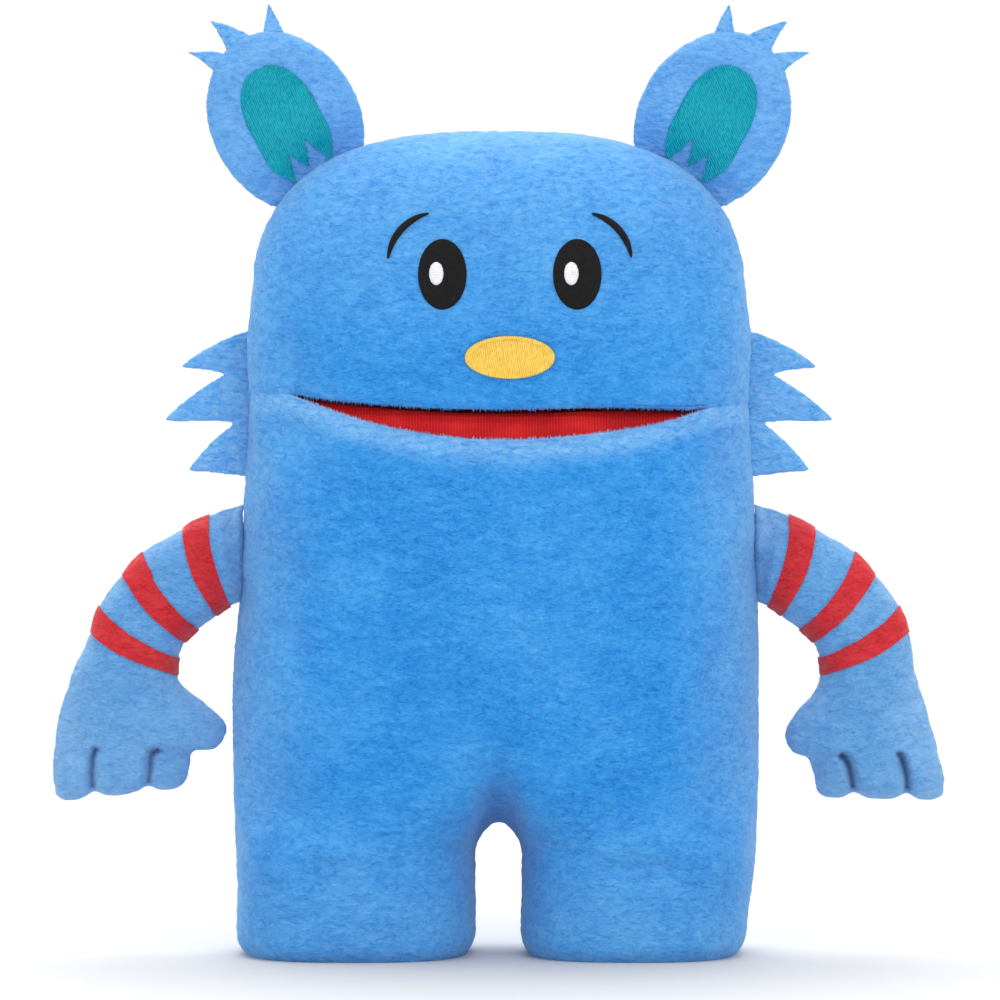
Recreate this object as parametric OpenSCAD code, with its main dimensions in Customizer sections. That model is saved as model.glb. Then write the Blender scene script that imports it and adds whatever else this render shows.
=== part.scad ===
// Plush hand puppet of a furry animal, with a mouth that the hand inside opens.
// Millimetres. It faces -Y with +Z up, and stands on its origin. Left is its own left, at +X.

/* [Body] */
// Width across the side seams at the feet
hip_width = 188; // [156:1:226]
// Width across the side seams at the mouth
mouth_width = 185; // [156:1:222]
// How far each side swells past a straight seam at the belly
belly_swell = 3.5; // [0:0.5:5]
// Depth of the stuffed body, front to back
body_depth = 88; // [76:1:106]
// Height of the mouth corners above the floor
mouth_z = 208; // [198:1:250]
// Height of the crotch
leg_length = 49; // [40:1:59]
// Gap between the legs
leg_gap = 17; // [10:1:21]
// Height over which the front fills out above the crotch
crotch_rise = 38; // [30:1:46]
// Thickness of the plush with its pile
plush_t = 2.5; // [2:0.1:3]
// Thickness of the sole pieces
sole_t = 3; // [2:0.1:4]

/* [Head] */
// Height of the head above the mouth corners
head_height = 97.5; // [81:0.5:117]
// Height above the mouth corners where the dome starts
head_side = 17; // [15:0.5:20]
// Depth of the head, front to back
head_depth = 92; // [80:1:110]

/* [Mouth] */
// Width between the mouth corners
mouth_span = 146; // [122:1:152]
// How far the upper lip hangs at its middle
upper_lip_sag = 4; // [3:0.5:5]
// How far the lower lip hangs at its middle
lower_lip_sag = 15; // [12:0.5:18]
// How far behind the body's middle the throat folds
throat_y = 6; // [2:0.5:8]
// Thickness of the knitted mouth lining
lining_t = 1.2; // [1:0.1:1.5]
// Thickness of the jaw boards
board_t = 2; // [1.5:0.1:2.4]
// Half the width of the finger pocket
finger_half = 48; // [40:1:52]
// Height of the finger pocket
finger_high = 26; // [22:1:28]
// Half the width of the thumb pocket
thumb_half = 22; // [18:1:26]
// Height of the thumb pocket
thumb_high = 24; // [20:1:26]

/* [Hand opening] */
// Width of the opening in the lower back
opening_w = 104; // [86:1:112]
// Height of its lower edge
opening_low = 62; // [60:1:70]
// Height of its upper edge
opening_high = 118; // [105:1:125]
// Width of the binding round it
binding_w = 5; // [4:0.5:6]
// Thickness of the binding
binding_t = 2.7; // [2:0.1:3]
// Height of the top of the hand sleeve
sleeve_top = 150; // [140:1:155]
// How far behind the body's middle the sleeve's front wall stands
sleeve_front = 6; // [5:0.5:8]
// Wall of the sleeve's lining cloth
sleeve_wall = 1.2; // [1:0.1:1.5]

/* [Arms] */
// Height of the arm's root above the floor
arm_z = 141; // [130:1:150]
// How far the arm's pivot stands out from the hip seam line
arm_out = 23; // [22:0.5:26]
// Half the width of the arm at its root
arm_half = 17.3; // [15:0.1:18]
// Slope of the arm at its root, in degrees below level
arm_droop = 25; // [20:1:30]
// Radius of the arm's bend
arm_bend = 45; // [42:1:50]
// Length of the hand below the bend
hand_length = 42; // [38:1:48]
// Half the width of the hand on its outer side
hand_outer = 22; // [18:0.5:24]
// Half the width of the hand on its thumb side
hand_inner = 28; // [24:0.5:29]
// How far the thumb stands past the hand
thumb_out = 11.5; // [8:0.5:12]
// Depth of the notches between the fingers
finger_notch = 9; // [6:0.5:12]
// Half the thickness of the arm
arm_thick = 14; // [11:0.5:15]
// Thickness of the arm's plush
arm_plush_t = 2; // [1.5:0.1:2.4]
// Width of each red band
arm_band_w = 11; // [8:0.5:12]
// Thickness of each red band
arm_band_t = 0.9; // [0.6:0.1:1]

/* [Ears] */
// Half the width of an ear
ear_half = 28; // [24:0.5:33]
// Half the height of an ear
ear_rise = 35.5; // [30:0.5:42]
// Lean of the ears outwards, in degrees
ear_lean = 28; // [22:1:32]
// How far out the middle of an ear is
ear_out = 79; // [72:0.5:84]
// How far below the head's top the middle of an ear is, less than zero when above
ear_drop = -3.5; // [-6:0.5:0]
// Half the thickness of an ear
ear_thick = 8; // [6:0.5:9]
// Thickness of the ears' plush
ear_plush_t = 2; // [1.5:0.1:2.4]
// Length of the longest tuft on an ear
tuft_length = 12; // [10:0.5:16]

/* [Cheek fringe] */
// Height of the cheek fringe
fringe_high = 51; // [40:1:55]
// How far its middle point stands out
fringe_out = 31; // [25:0.5:36]
// Thickness of the doubled plush
fringe_t = 3; // [2:0.5:4]

/* [Face] */
// Half the width of an eye
eye_half = 9.1; // [7:0.1:11]
// Half the height of an eye
eye_rise = 13.2; // [11:0.1:15]
// Distance between the eyes
eye_spacing = 49.4; // [40:0.2:56]
// Height of the eyes above the mouth corners
eye_up = 45.2; // [40:0.2:50]
// Half the width of the nose
nose_half = 16.7; // [13:0.1:19]
// Half the height of the nose
nose_rise = 8; // [6:0.1:10]
// Height of the nose above the mouth corners
nose_up = 14.8; // [14:0.2:18]
// Thickness of the embroidery
thread_t = 0.8; // [0.5:0.1:1.2]

/* [Hidden] */
$fn = 48;

// Colours
plush = "#4A9BEA";
arm_blue = "#6FA5E0";
red = "#D84A4E";
mouth_red = "#C4161C";
teal = "#0AA3B5";
yellow = "#F5C84B";
ink = "#121214";
white = "#F4F4FA";
lining_blue = "#2F6FB5";
filling = "#EDEDE6";
board_grey = "#8A8A86";

// Clearances
seam_gap = 0.4;       // between the front and back cuts along a side seam
ease = 0.3;           // between the binding and the back
fill_ease = 2;        // between a filling and its cover, in the legs, belly and head
pad_ease = 1.2;       // between a filling and its cover, in the arms and ears
sole_ease = 1;        // between a sole and the leg round it
lip_gap = 0.3;        // from the mouth corner's height to each lip's sewn end
body_gap = 0.4;       // between pieces that move apart
swing_gap = 0.5;      // between the arm's round root and its strip

// Rounding of the stuffed cloth: across the body, across the head, and front to back
side_power = 3;
dome_power = 2.85;
face_power = 1 / 2.2;

// Heights that several pieces share
chest_z = mouth_z - 48;                 // the front panel ends and the chin panel starts
nape_low = mouth_z - 13;
nape_high = mouth_z + head_side - 3;
dome_z = mouth_z + head_side;
dome_rise = head_height - head_side;
crotch_arch = 9;
palate_z = mouth_z - 2;
tongue_z = palate_z - 2.4;
hinge_y = throat_y + 4;
jaw_tilt = atan((tongue_z - mouth_z + lower_lip_sag) / (body_depth / 2 + hinge_y - 4));
mouth_inset = plush_t + 0.9;
pocket_wall = 1.2;
pocket_front = -36;

function mix(a, b, w) = a + (b - a) * w;
function smooth(t) = let (u = min(1, max(0, t))) u * u * (3 - 2 * u);

// --- One sheet of cloth, or one pad, between an outer and an inner grid of points ---
// Columns run towards +X, rows run up, and the outer grid faces -Y.
module sheet(outer, inner, closed = false) {
    cols = len(outer);
    rows = len(outer[0]);
    half = cols * rows;
    function o(c, r) = (c % cols) * rows + r;
    function i(c, r) = half + (c % cols) * rows + r;
    // A four-sided cell as two triangles, cut so that no triangle lies along a corner of the sheet
    function two(a, b, c, d) = [[a, b, c], [a, c, d]];
    function cell(k, r, a, b, c, d) = (2 * k + 1 < cols) == (2 * r + 1 < rows)
        ? two(a, b, c, d) : [[a, b, d], [b, c, d]];
    last = closed ? cols - 1 : cols - 2;
    polyhedron(
        points = concat([for (c = outer) each c], [for (c = inner) each c]),
        faces = concat(
            [for (c = [0:last], r = [0:rows - 2])
                each cell(c, r, o(c, r), o(c, r + 1), o(c + 1, r + 1), o(c + 1, r))],
            [for (c = [0:last], r = [0:rows - 2])
                each cell(c, r, i(c, r), i(c + 1, r), i(c + 1, r + 1), i(c, r + 1))],
            [for (c = [0:last]) each two(o(c, 0), o(c + 1, 0), i(c + 1, 0), i(c, 0))],
            [for (c = [0:last]) each two(o(c + 1, rows - 1), o(c, rows - 1),
                i(c, rows - 1), i(c + 1, rows - 1))],
            closed ? [] : [for (r = [0:rows - 2])
                each two(o(0, r + 1), o(0, r), i(0, r), i(0, r + 1))],
            closed ? [] : [for (r = [0:rows - 2])
                each two(o(cols - 1, r), o(cols - 1, r + 1), i(cols - 1, r + 1), i(cols - 1, r))]
        )
    );
}

module mirrored_left() { children(); }
module mirrored_right() { mirror([1, 0, 0]) children(); }

// A flat slab outline with round corners
module rounded(w, h, r) {
    square([w - 2 * r, h], center = true);
    square([w, h - 2 * r], center = true);
    for (x = [-1, 1], y = [-1, 1])
        translate([x * (w / 2 - r), y * (h / 2 - r)]) circle(r);
}

// Even steps crowded towards both ends
function steps(n) = [for (k = [0:n]) (1 - cos(180 * k / n)) / 2];

// --- Body surface ---
function side_w(z) = z < mouth_z
    ? mix(hip_width, mouth_width, z / mouth_z) / 2 + belly_swell * sin(180 * z / mouth_z)
    : mouth_width / 2;
function half_depth(z) =
    mix(body_depth, head_depth, smooth((z - nape_low) / (nape_high - nape_low))) / 2;
function rounding(r) = pow(max(0, 1 - pow(abs(r), side_power)), face_power);
function crotch_z(x, i) = leg_length + i - crotch_arch * pow(min(1, abs(x) / (leg_gap / 2 + i)), 2);

// Depth of the skin at a point of the front view, at inset i below the outer surface
function torso_y(x, z, i, rise = crotch_rise) =
    let (w = side_w(z) - i, g = leg_gap / 2 + i,
         fill = 1 - pow(1 - min(1, max(0, (z - crotch_z(x, i)) / rise)), 3),
         leg = rounding((abs(x) - (w + g) / 2) / ((w - g) / 2)))
    (half_depth(z) - i) * mix(leg, rounding(x / w), fill);

function torso_point(x, z, i, rise = crotch_rise) = [x, -torso_y(x, z, i, rise) - seam_gap / 2, z];

// Columns of a legged panel: [side, share from inseam to side seam], and [0, share of the gap]
function leg_columns(shares) = concat(
    [for (k = [len(shares) - 1:-1:0]) [-1, shares[k]]],
    [for (v = [-0.9, -0.5, 0, 0.5, 0.9]) [0, v]],
    [for (u = shares) [1, u]]
);
function column_x(col, z, i) = let (g = leg_gap / 2 + i)
    col[0] == 0 ? col[1] * g : col[0] * mix(g, side_w(z) - i, col[1]);
function column_low(col, i) = col[0] == 0 ? crotch_z(col[1] * (leg_gap / 2 + i), i) : 0;

// A legged panel's grid, where top is a function of the column
function legged_grid(columns, top, rows, i, rise) = [
    for (col = columns) let (low = column_low(col, i), high = top(col))
        [for (r = [0:rows]) let (z = mix(low, high, r / rows))
            torso_point(column_x(col, z, i), z, i, rise)]
];

// A plain panel's grid across the whole body between two heights given as functions of x
function across(n) = [for (u = steps(n)) 2 * u - 1];
function torso_grid(low, high, cols, rows, i) = [
    for (s = across(cols))
        let (x = s * (mouth_width / 2 - i), z0 = low(x), z1 = high(x))
        [for (r = [0:rows]) let (z = mix(z0, z1, r / rows))
            torso_point(s * (side_w(z) - i), z, i)]
];

module torso_panel(low, high, cols, rows)
    sheet(torso_grid(low, high, cols, rows, 0), torso_grid(low, high, cols, rows, plush_t));

module torso_front_panel() {
    shares = steps(10);
    top = function(col) chest_z;
    color(plush) sheet(
        legged_grid(leg_columns(shares), top, 12, 0, crotch_rise),
        legged_grid(leg_columns(shares), top, 12, plush_t, crotch_rise)
    );
}

// The lower back stops below the hand opening and rises on both sides of it
opening_share = (opening_w / 2 - leg_gap / 2) / (side_w(opening_low) - leg_gap / 2);
edge_share = opening_share + 2 / hip_width;
seat_rise = opening_low - binding_w - leg_length + crotch_arch / 2;   // the seat is full here
back_shares = concat(
    [for (u = steps(5)) u * opening_share],
    [for (k = [0:6]) mix(edge_share, 1, sin(15 * k))]
);

module lower_back_panel() {
    top = function(col) col[0] != 0 && col[1] >= edge_share - 0.001 ? opening_high : opening_low;
    color(plush) mirror([0, 1, 0]) sheet(
        legged_grid(leg_columns(back_shares), top, 9, 0, seat_rise),
        legged_grid(leg_columns(back_shares), top, 9, plush_t, seat_rise)
    );
}

module upper_back_panel()
    color(plush) mirror([0, 1, 0])
        torso_panel(function(x) opening_high, function(x) nape_low, 20, 5);

// Height of a lip at x, hanging by sag at its middle and sewn level past the corners
function lip_z(x, sag) = mouth_z - sag * max(0, 1 - pow(2 * x / mouth_span, 2));

module chin_panel()
    color(plush) torso_panel(
        function(x) chest_z + body_gap,
        function(x) lip_z(x, lower_lip_sag) - lip_gap, 24, 5);

module nape_panel()
    color(plush) mirror([0, 1, 0])
        torso_panel(function(x) nape_low + body_gap, function(x) nape_high, 20, 3);

// Outline of one leg's section, at inset i
function leg_outline(i) =
    let (w = side_w(0) - i, g = leg_gap / 2 + i, c = (w + g) / 2, h = (w - g) / 2)
    [for (k = [0:39]) let (a = 9 * k, x = sign(cos(a)) * pow(abs(cos(a)), 2 / side_power))
        [c + h * x, sign(sin(a)) * (body_depth / 2 - i) * rounding(x)]];

module foot_sole()
    color(plush) linear_extrude(sole_t) polygon(leg_outline(plush_t + sole_ease));

module leg_stuffing()
    color(filling) translate([0, 0, sole_t + ease])
        linear_extrude(leg_length - crotch_arch - sole_t - 2 * ease)
            polygon(leg_outline(plush_t + fill_ease));

module left_foot_sole() mirrored_left() foot_sole();
module right_foot_sole() mirrored_right() foot_sole();
module left_leg_stuffing() mirrored_left() leg_stuffing();
module right_leg_stuffing() mirrored_right() leg_stuffing();

// The filling in front of the sleeve, its back flat against the sleeve's front wall
module belly_stuffing() {
    i = plush_t + fill_ease;
    low = leg_length + 30;
    high = sleeve_top - 10;
    function point(s, z, back) = let (x = s * (side_w(z) - i))
        [x, back ? sleeve_front - ease : min(-torso_y(x, z, i), 0), z];
    function grid(back) = [for (s = across(20)) [for (r = [0:6])
        point(0.97 * s, mix(low, high, r / 6), back)]];
    color(filling) sheet(grid(false), grid(true));
}

// --- Hand opening, binding and sleeve ---
binding_y = torso_y(opening_w / 2 + binding_w, opening_high, plush_t) - ease;
sleeve_back = binding_y - binding_t;
opening_mid = (opening_low + opening_high) / 2;
opening_h = opening_high - opening_low;

module opening_binding()
    color(lining_blue) translate([0, binding_y, opening_mid]) rotate([90, 0, 0])
        linear_extrude(binding_t) difference() {
            rounded(opening_w + 2 * binding_w, opening_h + 2 * binding_w, 6);
            rounded(opening_w, opening_h, 4);
        }

module hand_sleeve() {
    w = opening_w + 2 * binding_w;
    d = sleeve_back - sleeve_front;
    low = opening_low - binding_w;
    color(lining_blue) difference() {
        translate([0, sleeve_front + d / 2, low])
            linear_extrude(sleeve_top - low) rounded(w, d, 8);
        translate([0, sleeve_front + d / 2, low + sleeve_wall])
            linear_extrude(sleeve_top - low)
                rounded(w - 2 * sleeve_wall, d - 2 * sleeve_wall, 8 - sleeve_wall);
        translate([-opening_w / 2, sleeve_back - 2 * sleeve_wall, opening_low])
            cube([opening_w, 3 * sleeve_wall, opening_h]);
    }
}

// --- Cheek fringe: three points of doubled plush sewn in the side seam ---
fringe_low = mouth_z - 31;
fringe_x = side_w(fringe_low) + body_gap;
module fringe()
    color(plush) translate([fringe_x, fringe_t / 2, fringe_low]) rotate([90, 0, 0])
        linear_extrude(fringe_t) polygon([
            [0, 0], [0.7 * fringe_out, 0.03 * fringe_high], [0.2 * fringe_out, 0.41 * fringe_high],
            [fringe_out, 0.41 * fringe_high], [0.35 * fringe_out, 0.74 * fringe_high],
            [0.83 * fringe_out, 0.79 * fringe_high], [0, fringe_high]
        ]);

module left_cheek_fringe() mirrored_left() fringe();
module right_cheek_fringe() mirrored_right() fringe();

// --- Mouth: two D-shaped linings on boards, which meet at the throat ---
function mouth_outline(i) =
    let (h = mouth_span / 2 - i + mouth_inset, w = mouth_width / 2 - i, d = body_depth / 2 - i,
         corner_y = -d * rounding(h / w), back = throat_y - i + mouth_inset)
    concat(
        [for (s = across(20)) [s * h, -d * rounding(s * h / w)]],
        [for (a = [10:10:170]) [
            sign(cos(a)) * h * pow(abs(cos(a)), 2 / 3),
            mix(corner_y, back, pow(sin(a), 2 / 3))]]
    );

// A pocket of cloth on a board: open at the back, arched above
module pocket(half, high, front)
    translate([0, throat_y - 2, 0]) rotate([90, 0, 0]) difference() {
        linear_extrude(throat_y - 2 - front) pocket_arch(half, high);
        translate([0, 0, -1]) linear_extrude(throat_y - 1 - front - pocket_wall)
            pocket_arch(half - pocket_wall, high - pocket_wall);
    }
module pocket_arch(half, high) {
    r = high / 2;
    translate([-half, 0]) square([2 * half, high - r]);
    translate([-half + r, 0]) square([2 * half - 2 * r, high]);
    for (x = [-1, 1]) translate([x * (half - r), high - r]) circle(r);
}

module palate_lining()
    color(mouth_red) translate([0, 0, palate_z])
        linear_extrude(lining_t) polygon(mouth_outline(mouth_inset));

board_lift = lining_t + 0.2;
pocket_lift = board_lift + board_t + 0.2;

module upper_jaw_board()
    color(board_grey) translate([0, 0, palate_z + board_lift])
        linear_extrude(board_t) polygon(mouth_outline(mouth_inset + 2));

module finger_pocket()
    color(lining_blue) translate([0, 0, palate_z + pocket_lift])
        pocket(finger_half, finger_high, pocket_front);

// The lower jaw is laid out level, upside down below the hinge line, and then hangs by its tilt
module hung_jaw()
    translate([0, hinge_y, tongue_z]) rotate([jaw_tilt, 0, 0]) translate([0, -hinge_y, 0])
        mirror([0, 0, 1]) children();

module tongue_lining()
    color(mouth_red) hung_jaw() linear_extrude(lining_t) polygon(mouth_outline(mouth_inset));

module lower_jaw_board()
    color(board_grey) hung_jaw() translate([0, 0, board_lift])
        linear_extrude(board_t) polygon(mouth_outline(mouth_inset + 2));

module thumb_pocket()
    color(lining_blue) hung_jaw() translate([0, 0, pocket_lift])
        pocket(thumb_half, thumb_high, pocket_front);

// --- Head ---
function dome_level(x, z, i) = pow(abs(x) / (mouth_width / 2 - i), dome_power)
    + pow(max(0, z - dome_z) / (dome_rise - i), dome_power);
function dome_top(s, i) =
    dome_z + (dome_rise - i) * pow(max(0, 1 - pow(abs(s), dome_power)), 1 / dome_power);
function head_y(x, z, i) =
    (half_depth(z) - i) * pow(max(0, 1 - dome_level(x, z, i)), face_power);
function head_point(x, z, i) = [x, -head_y(x, z, i) - seam_gap / 2, z];

// Rows crowd a little towards the seam over the top of the head
function crowd(v) = mix(v, sin(90 * v), 0.6);
function head_grid(low, cols, rows, i) = [
    for (s = across(cols)) let (x = s * (mouth_width / 2 - i), z0 = low(x), z1 = dome_top(s, i))
        [for (r = [0:rows]) head_point(x, mix(z0, z1, crowd(r / rows)), i)]
];

module face_panel() {
    low = function(x) lip_z(x, upper_lip_sag) + lip_gap;
    color(plush) sheet(head_grid(low, 26, 12, 0), head_grid(low, 26, 12, plush_t));
}

module head_back_panel() {
    low = function(x) nape_high + body_gap;
    color(plush) mirror([0, 1, 0])
        sheet(head_grid(low, 20, 9, 0), head_grid(low, 20, 9, plush_t));
}

module head_stuffing() {
    i = plush_t + fill_ease;
    low = palate_z + pocket_lift + finger_high + 4;
    function grid(side) = [for (s = across(18)) let (x = 0.93 * s * (mouth_width / 2 - i),
            high = dome_top(0.93 * s, i) - 1)
        [for (r = [0:7]) let (z = mix(low, high, crowd(r / 7))) [x, side * head_y(x, z, i), z]]];
    color(filling) sheet(grid(-1), grid(1));
}

// --- Embroidery, lying on the face between two lifts above the plush ---
function on_face(x, z, lift) = head_point(x, z, 0) - [0, lift, 0];
module oval(x, z, half, rise, low_lift, high_lift) {
    function grid(lift) = [for (s = across(12)) [for (r = [-2:2])
        on_face(x + 0.995 * half * s, z + rise * sqrt(1 - pow(0.995 * s, 2)) * r / 2, lift)]];
    sheet(grid(high_lift), grid(low_lift));
}

face_x = 4;                       // the eyes and nose sit this far to the left of the middle
stitch_gap = 0.1;                 // between a piece of embroidery and what it lies on
highlight_t = 0.5;
eye_z = mouth_z + eye_up;
nose_z = mouth_z + nose_up;

module eye(side)
    color(ink) oval(face_x + side * eye_spacing / 2, eye_z, eye_half, eye_rise,
        stitch_gap, stitch_gap + thread_t);
module highlight(side)
    color(white) oval(face_x - 2.2 + side * eye_spacing / 2, eye_z + 0.3, 2.9, 4.6,
        thread_t + 2 * stitch_gap, thread_t + 2 * stitch_gap + highlight_t);

module left_eye_patch() eye(1);
module right_eye_patch() eye(-1);
module left_eye_highlight() highlight(1);
module right_eye_highlight() highlight(-1);
module nose_patch()
    color(yellow) oval(face_x, nose_z, nose_half, nose_rise, stitch_gap, stitch_gap + 1.2 * thread_t);

// A brow is a thin arc above and outside its eye, thickest in its middle
brow_r = 19;                      // radius of its arc
brow_out = 1;                     // its arc's middle is this much outside the eye's
brow_up = 3.7;                    // and this much above it
brow_half = 1.2;                  // half its thickness
brow_steps = 10;
module brow(side) {
    ends = side > 0 ? [77, 7] : [174, 102];
    function spot(a, r) = [face_x + side * (eye_spacing / 2 + brow_out) + r * cos(a),
        eye_z + brow_up + r * sin(a)];
    function grid(lift) = [for (k = [0:brow_steps])
        let (a = mix(ends[0], ends[1], k / brow_steps), h = brow_half * sin(180 * k / brow_steps) + 0.2)
        [for (r = [-h, h]) let (at = spot(a, brow_r + r)) on_face(at[0], at[1], lift)]];
    color(ink) sheet(grid(stitch_gap + thread_t), grid(stitch_gap));
}
module left_brow() brow(1);
module right_brow() brow(-1);

// --- Arms, laid out on the left: a pad along a bent line, ending in three fingers and a thumb ---
pivot_x = hip_width / 2 + arm_out;
bend_angle = 90 - arm_droop;
bend_length = arm_bend * bend_angle * PI / 180;
arm_length = bend_length + hand_length;
bend_centre = [pivot_x - arm_bend * sin(arm_droop), arm_z - arm_bend * cos(arm_droop)];

// Place of a point t along the arm from its pivot and o to its outer side
function arm_xz(o, t) =
    t < 0 ? [pivot_x + t * cos(arm_droop) + o * sin(arm_droop),
             arm_z - t * sin(arm_droop) + o * cos(arm_droop)]
    : t < bend_length ? let (a = bend_angle - t / arm_bend * 180 / PI)
        bend_centre + (arm_bend + o) * [cos(a), sin(a)]
    : bend_centre + [arm_bend + o, bend_length - t];

hand_t = bend_length;             // the hand starts here
thumb_t = hand_t + 0.45 * hand_length;
hand_round = 10;                  // the outer fingers are this much shorter
function bump(t, middle, width) = pow(max(0, 1 - pow((t - middle) / width, 2)), 2);
function outer_w(t) = mix(arm_half, hand_outer, smooth((t - hand_t + 6) / 22));
function inner_w(t) = mix(arm_half, hand_inner, smooth((t - hand_t + 4) / 18))
    + thumb_out * bump(t, thumb_t, 14);
function arm_w(s, t, i) = (s > 0 ? outer_w(t) : inner_w(t)) - i;
function root_t(s, i) = -(arm_half - i) * sqrt(max(0, 1 - s * s));
// The finger tips: three round ends with notches between them
function finger_wave(s) = abs(sin(270 * (s + 1)));
function tip_t(s, i) = arm_length - i * (3 - 2 * finger_wave(s))
    - finger_notch * pow(1 - finger_wave(s), 2) - hand_round * pow(abs(s), 4);
function arm_y(s, t, i) =
    let (from_root = max(0, t - root_t(s, i)), to_tip = max(0, tip_t(s, i) - t),
         hand = smooth((t - hand_t) / 12),
         groove = 1 - 0.45 * smooth((t - thumb_t - 4) / 6) * pow(1 - finger_wave(s), 3))
    (mix(arm_thick, 0.75 * arm_thick, hand) - i) * groove
        * pow(max(0, 1 - pow(abs(s), 2.5)), 0.45)
        * sqrt(1 - pow(1 - min(1, from_root / 25), 2))
        * sqrt(1 - pow(1 - min(1, to_tip / 9), 2));
function arm_point(s, t, i, side = -1) =
    let (p = arm_xz(s * arm_w(s, t, i), t)) [p[0], side * arm_y(s, t, i), p[1]];

function arm_grid(i, side, trim, cols = arm_columns, rows = 12) = [
    for (u = across(cols)) let (s = -trim * u,
            t0 = mix(root_t(s, i), 0, 1 - trim), t1 = tip_t(s, i) - 60 * (1 - trim))
        [for (r = [0:rows]) arm_point(s, mix(t0, t1, r / rows), i, side)]
];

module arm_cover() translate([0, -seam_gap / 2, 0])
    sheet(arm_grid(0, -1, 1), arm_grid(arm_plush_t, -1, 1));
module arm_filling() {
    function half(side) = arm_grid(arm_plush_t + pad_ease, side, 0.84, 12, 12);
    sheet(half(-1), half(1));
}

// A red band round the arm between two places along it, on the same columns as the arm's covers
arm_columns = 18;
band_lift = 0.3;                  // between a band and the arm under it
module arm_band(t0) {
    points = 2 * arm_columns;
    function ring(i) = [for (k = [0:points - 1]) let (a = 360 * k / points, back = sin(a) < 0)
        [for (r = [0:2]) let (t = t0 + r / 2 * arm_band_w,
                most = t < 0 ? sqrt(max(0, 1 - pow(t / (arm_half - i), 2))) : 1)
            arm_point(most * cos(a), t, i, back ? 1 : -1)
                + [0, abs(sin(a)) < 0.001 ? 0 : back ? seam_gap / 2 : -seam_gap / 2, 0]]];
    color(red) sheet(ring(-band_lift - arm_band_t), ring(-band_lift), closed = true);
}
band_places = [-13, 8, 28];

module arm_bands() for (t = band_places) arm_band(t);

module left_arm_front() mirrored_left() color(arm_blue) arm_cover();
module right_arm_front() mirrored_right() color(arm_blue) arm_cover();
module left_arm_back() mirrored_left() color(arm_blue) mirror([0, 1, 0]) arm_cover();
module right_arm_back() mirrored_right() color(arm_blue) mirror([0, 1, 0]) arm_cover();
module left_arm_bands() mirrored_left() arm_bands();
module right_arm_bands() mirrored_right() arm_bands();
module left_arm_stuffing() mirrored_left() color(filling) arm_filling();
module right_arm_stuffing() mirrored_right() color(filling) arm_filling();

// The flattened root of the arm, sewn in the side seam and hollowed round the arm
strip_x = side_w(arm_z) + 1;
strip_out = 6;
strip_high = 38;
strip_thick = 3.2;
module shoulder_strip()
    color(arm_blue) difference() {
        translate([0, 0, arm_z - strip_high / 2]) linear_extrude(strip_high) polygon([
            [strip_x, -0.6], [strip_x + 3, -strip_thick], [strip_x + strip_out, -strip_thick],
            [strip_x + strip_out, strip_thick], [strip_x + 3, strip_thick], [strip_x, 0.6]
        ]);
        translate([pivot_x, 0, arm_z]) rotate([90, 0, 0])
            cylinder(r = arm_half + arm_band_t + swing_gap, h = 4 * strip_thick, center = true);
    }
module left_shoulder_strip() mirrored_left() shoulder_strip();
module right_shoulder_strip() mirrored_right() shoulder_strip();

// --- Ears, laid out on the left: p runs along the base and q out of it ---
ear_centre = [ear_out, mouth_z + head_height - ear_drop];
function ear_xz(p, q) = ear_centre
    + p * [cos(ear_lean), -sin(ear_lean)] + q * [sin(ear_lean), cos(ear_lean)];
// Where a line of constant p meets the head's outline
function head_q(p, low = -60, high = 30, n = 18) =
    let (mid = (low + high) / 2, at = ear_xz(p, mid), outside = dome_level(at[0], at[1], 0) > 1)
    n == 0 ? mid : head_q(p, outside ? low : mid, outside ? mid : high, n - 1);
function ear_edge(p, i) = (ear_rise - i) * sqrt(max(0, 1 - pow(p / (ear_half - i), 2)));
function ear_foot(p, i) = max(-ear_edge(p, i), head_q(p) + body_gap + i);
function ear_y(p, q, i) =
    let (r = sqrt(pow(p / (ear_half - i), 2) + pow(q / (ear_rise - i), 2)),
         up = max(0, q - head_q(p) - body_gap - i))
    (ear_thick - i) * sqrt(max(0, 1 - pow(r, 2.6))) * sin(90 * min(1, up / 24));
function ear_point(p, q, i, side = -1) = let (at = ear_xz(p, q)) [at[0], side * ear_y(p, q, i), at[1]];
function ear_grid(i, side, trim, cols = 14, rows = 8) = [
    for (s = across(cols)) let (p = 0.995 * trim * s * (ear_half - i),
            low = ear_foot(p, i), high = ear_edge(p, i), inset = (1 - trim) * 0.5)
        [for (r = [0:rows]) ear_point(p, mix(low, high, mix(inset, 1 - inset, r / rows)), i, side)]
];

// The hinge line of the ear touches the head's outline where that bulges most
ear_hinge_q = max([for (p = [-20:2:20]) head_q(p)]) + body_gap;
ear_hinge = ear_xz(0, ear_hinge_q);

module ear_cover() translate([0, -seam_gap / 2, 0])
    sheet(ear_grid(0, -1, 1), ear_grid(ear_plush_t, -1, 1));
module ear_wadding() {
    function half(side) = ear_grid(ear_plush_t + pad_ease, side, 0.94, 10, 6);
    color(filling) sheet(half(-1), half(1));
}

// The embroidered patch, with a jagged lower edge
patch_half = 14;
patch_rise = 23;
patch_jag = 9;                    // depth of its jagged lower edge
patch_lift = 0.4;                 // between the patch and the plush under it
patch_foot = 2;                   // from the head to the patch's lowest points
module ear_patch() {
    function edge(p) = patch_rise * sqrt(1 - pow(p / patch_half, 2));
    function jag(p) = patch_jag * abs(sin(270 * (p / patch_half + 1))) * (1 - pow(p / patch_half, 2));
    function low(p) = max(jag(p) - edge(p), head_q(p) + body_gap + patch_foot);
    function grid(lift) = [for (s = across(18)) let (p = 0.98 * patch_half * s)
        [for (r = [0:5]) ear_point(p, mix(low(p), edge(p), r / 5), 0) - [0, seam_gap / 2 + lift, 0]]];
    color(teal) sheet(grid(patch_lift + thread_t), grid(patch_lift));
}

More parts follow.
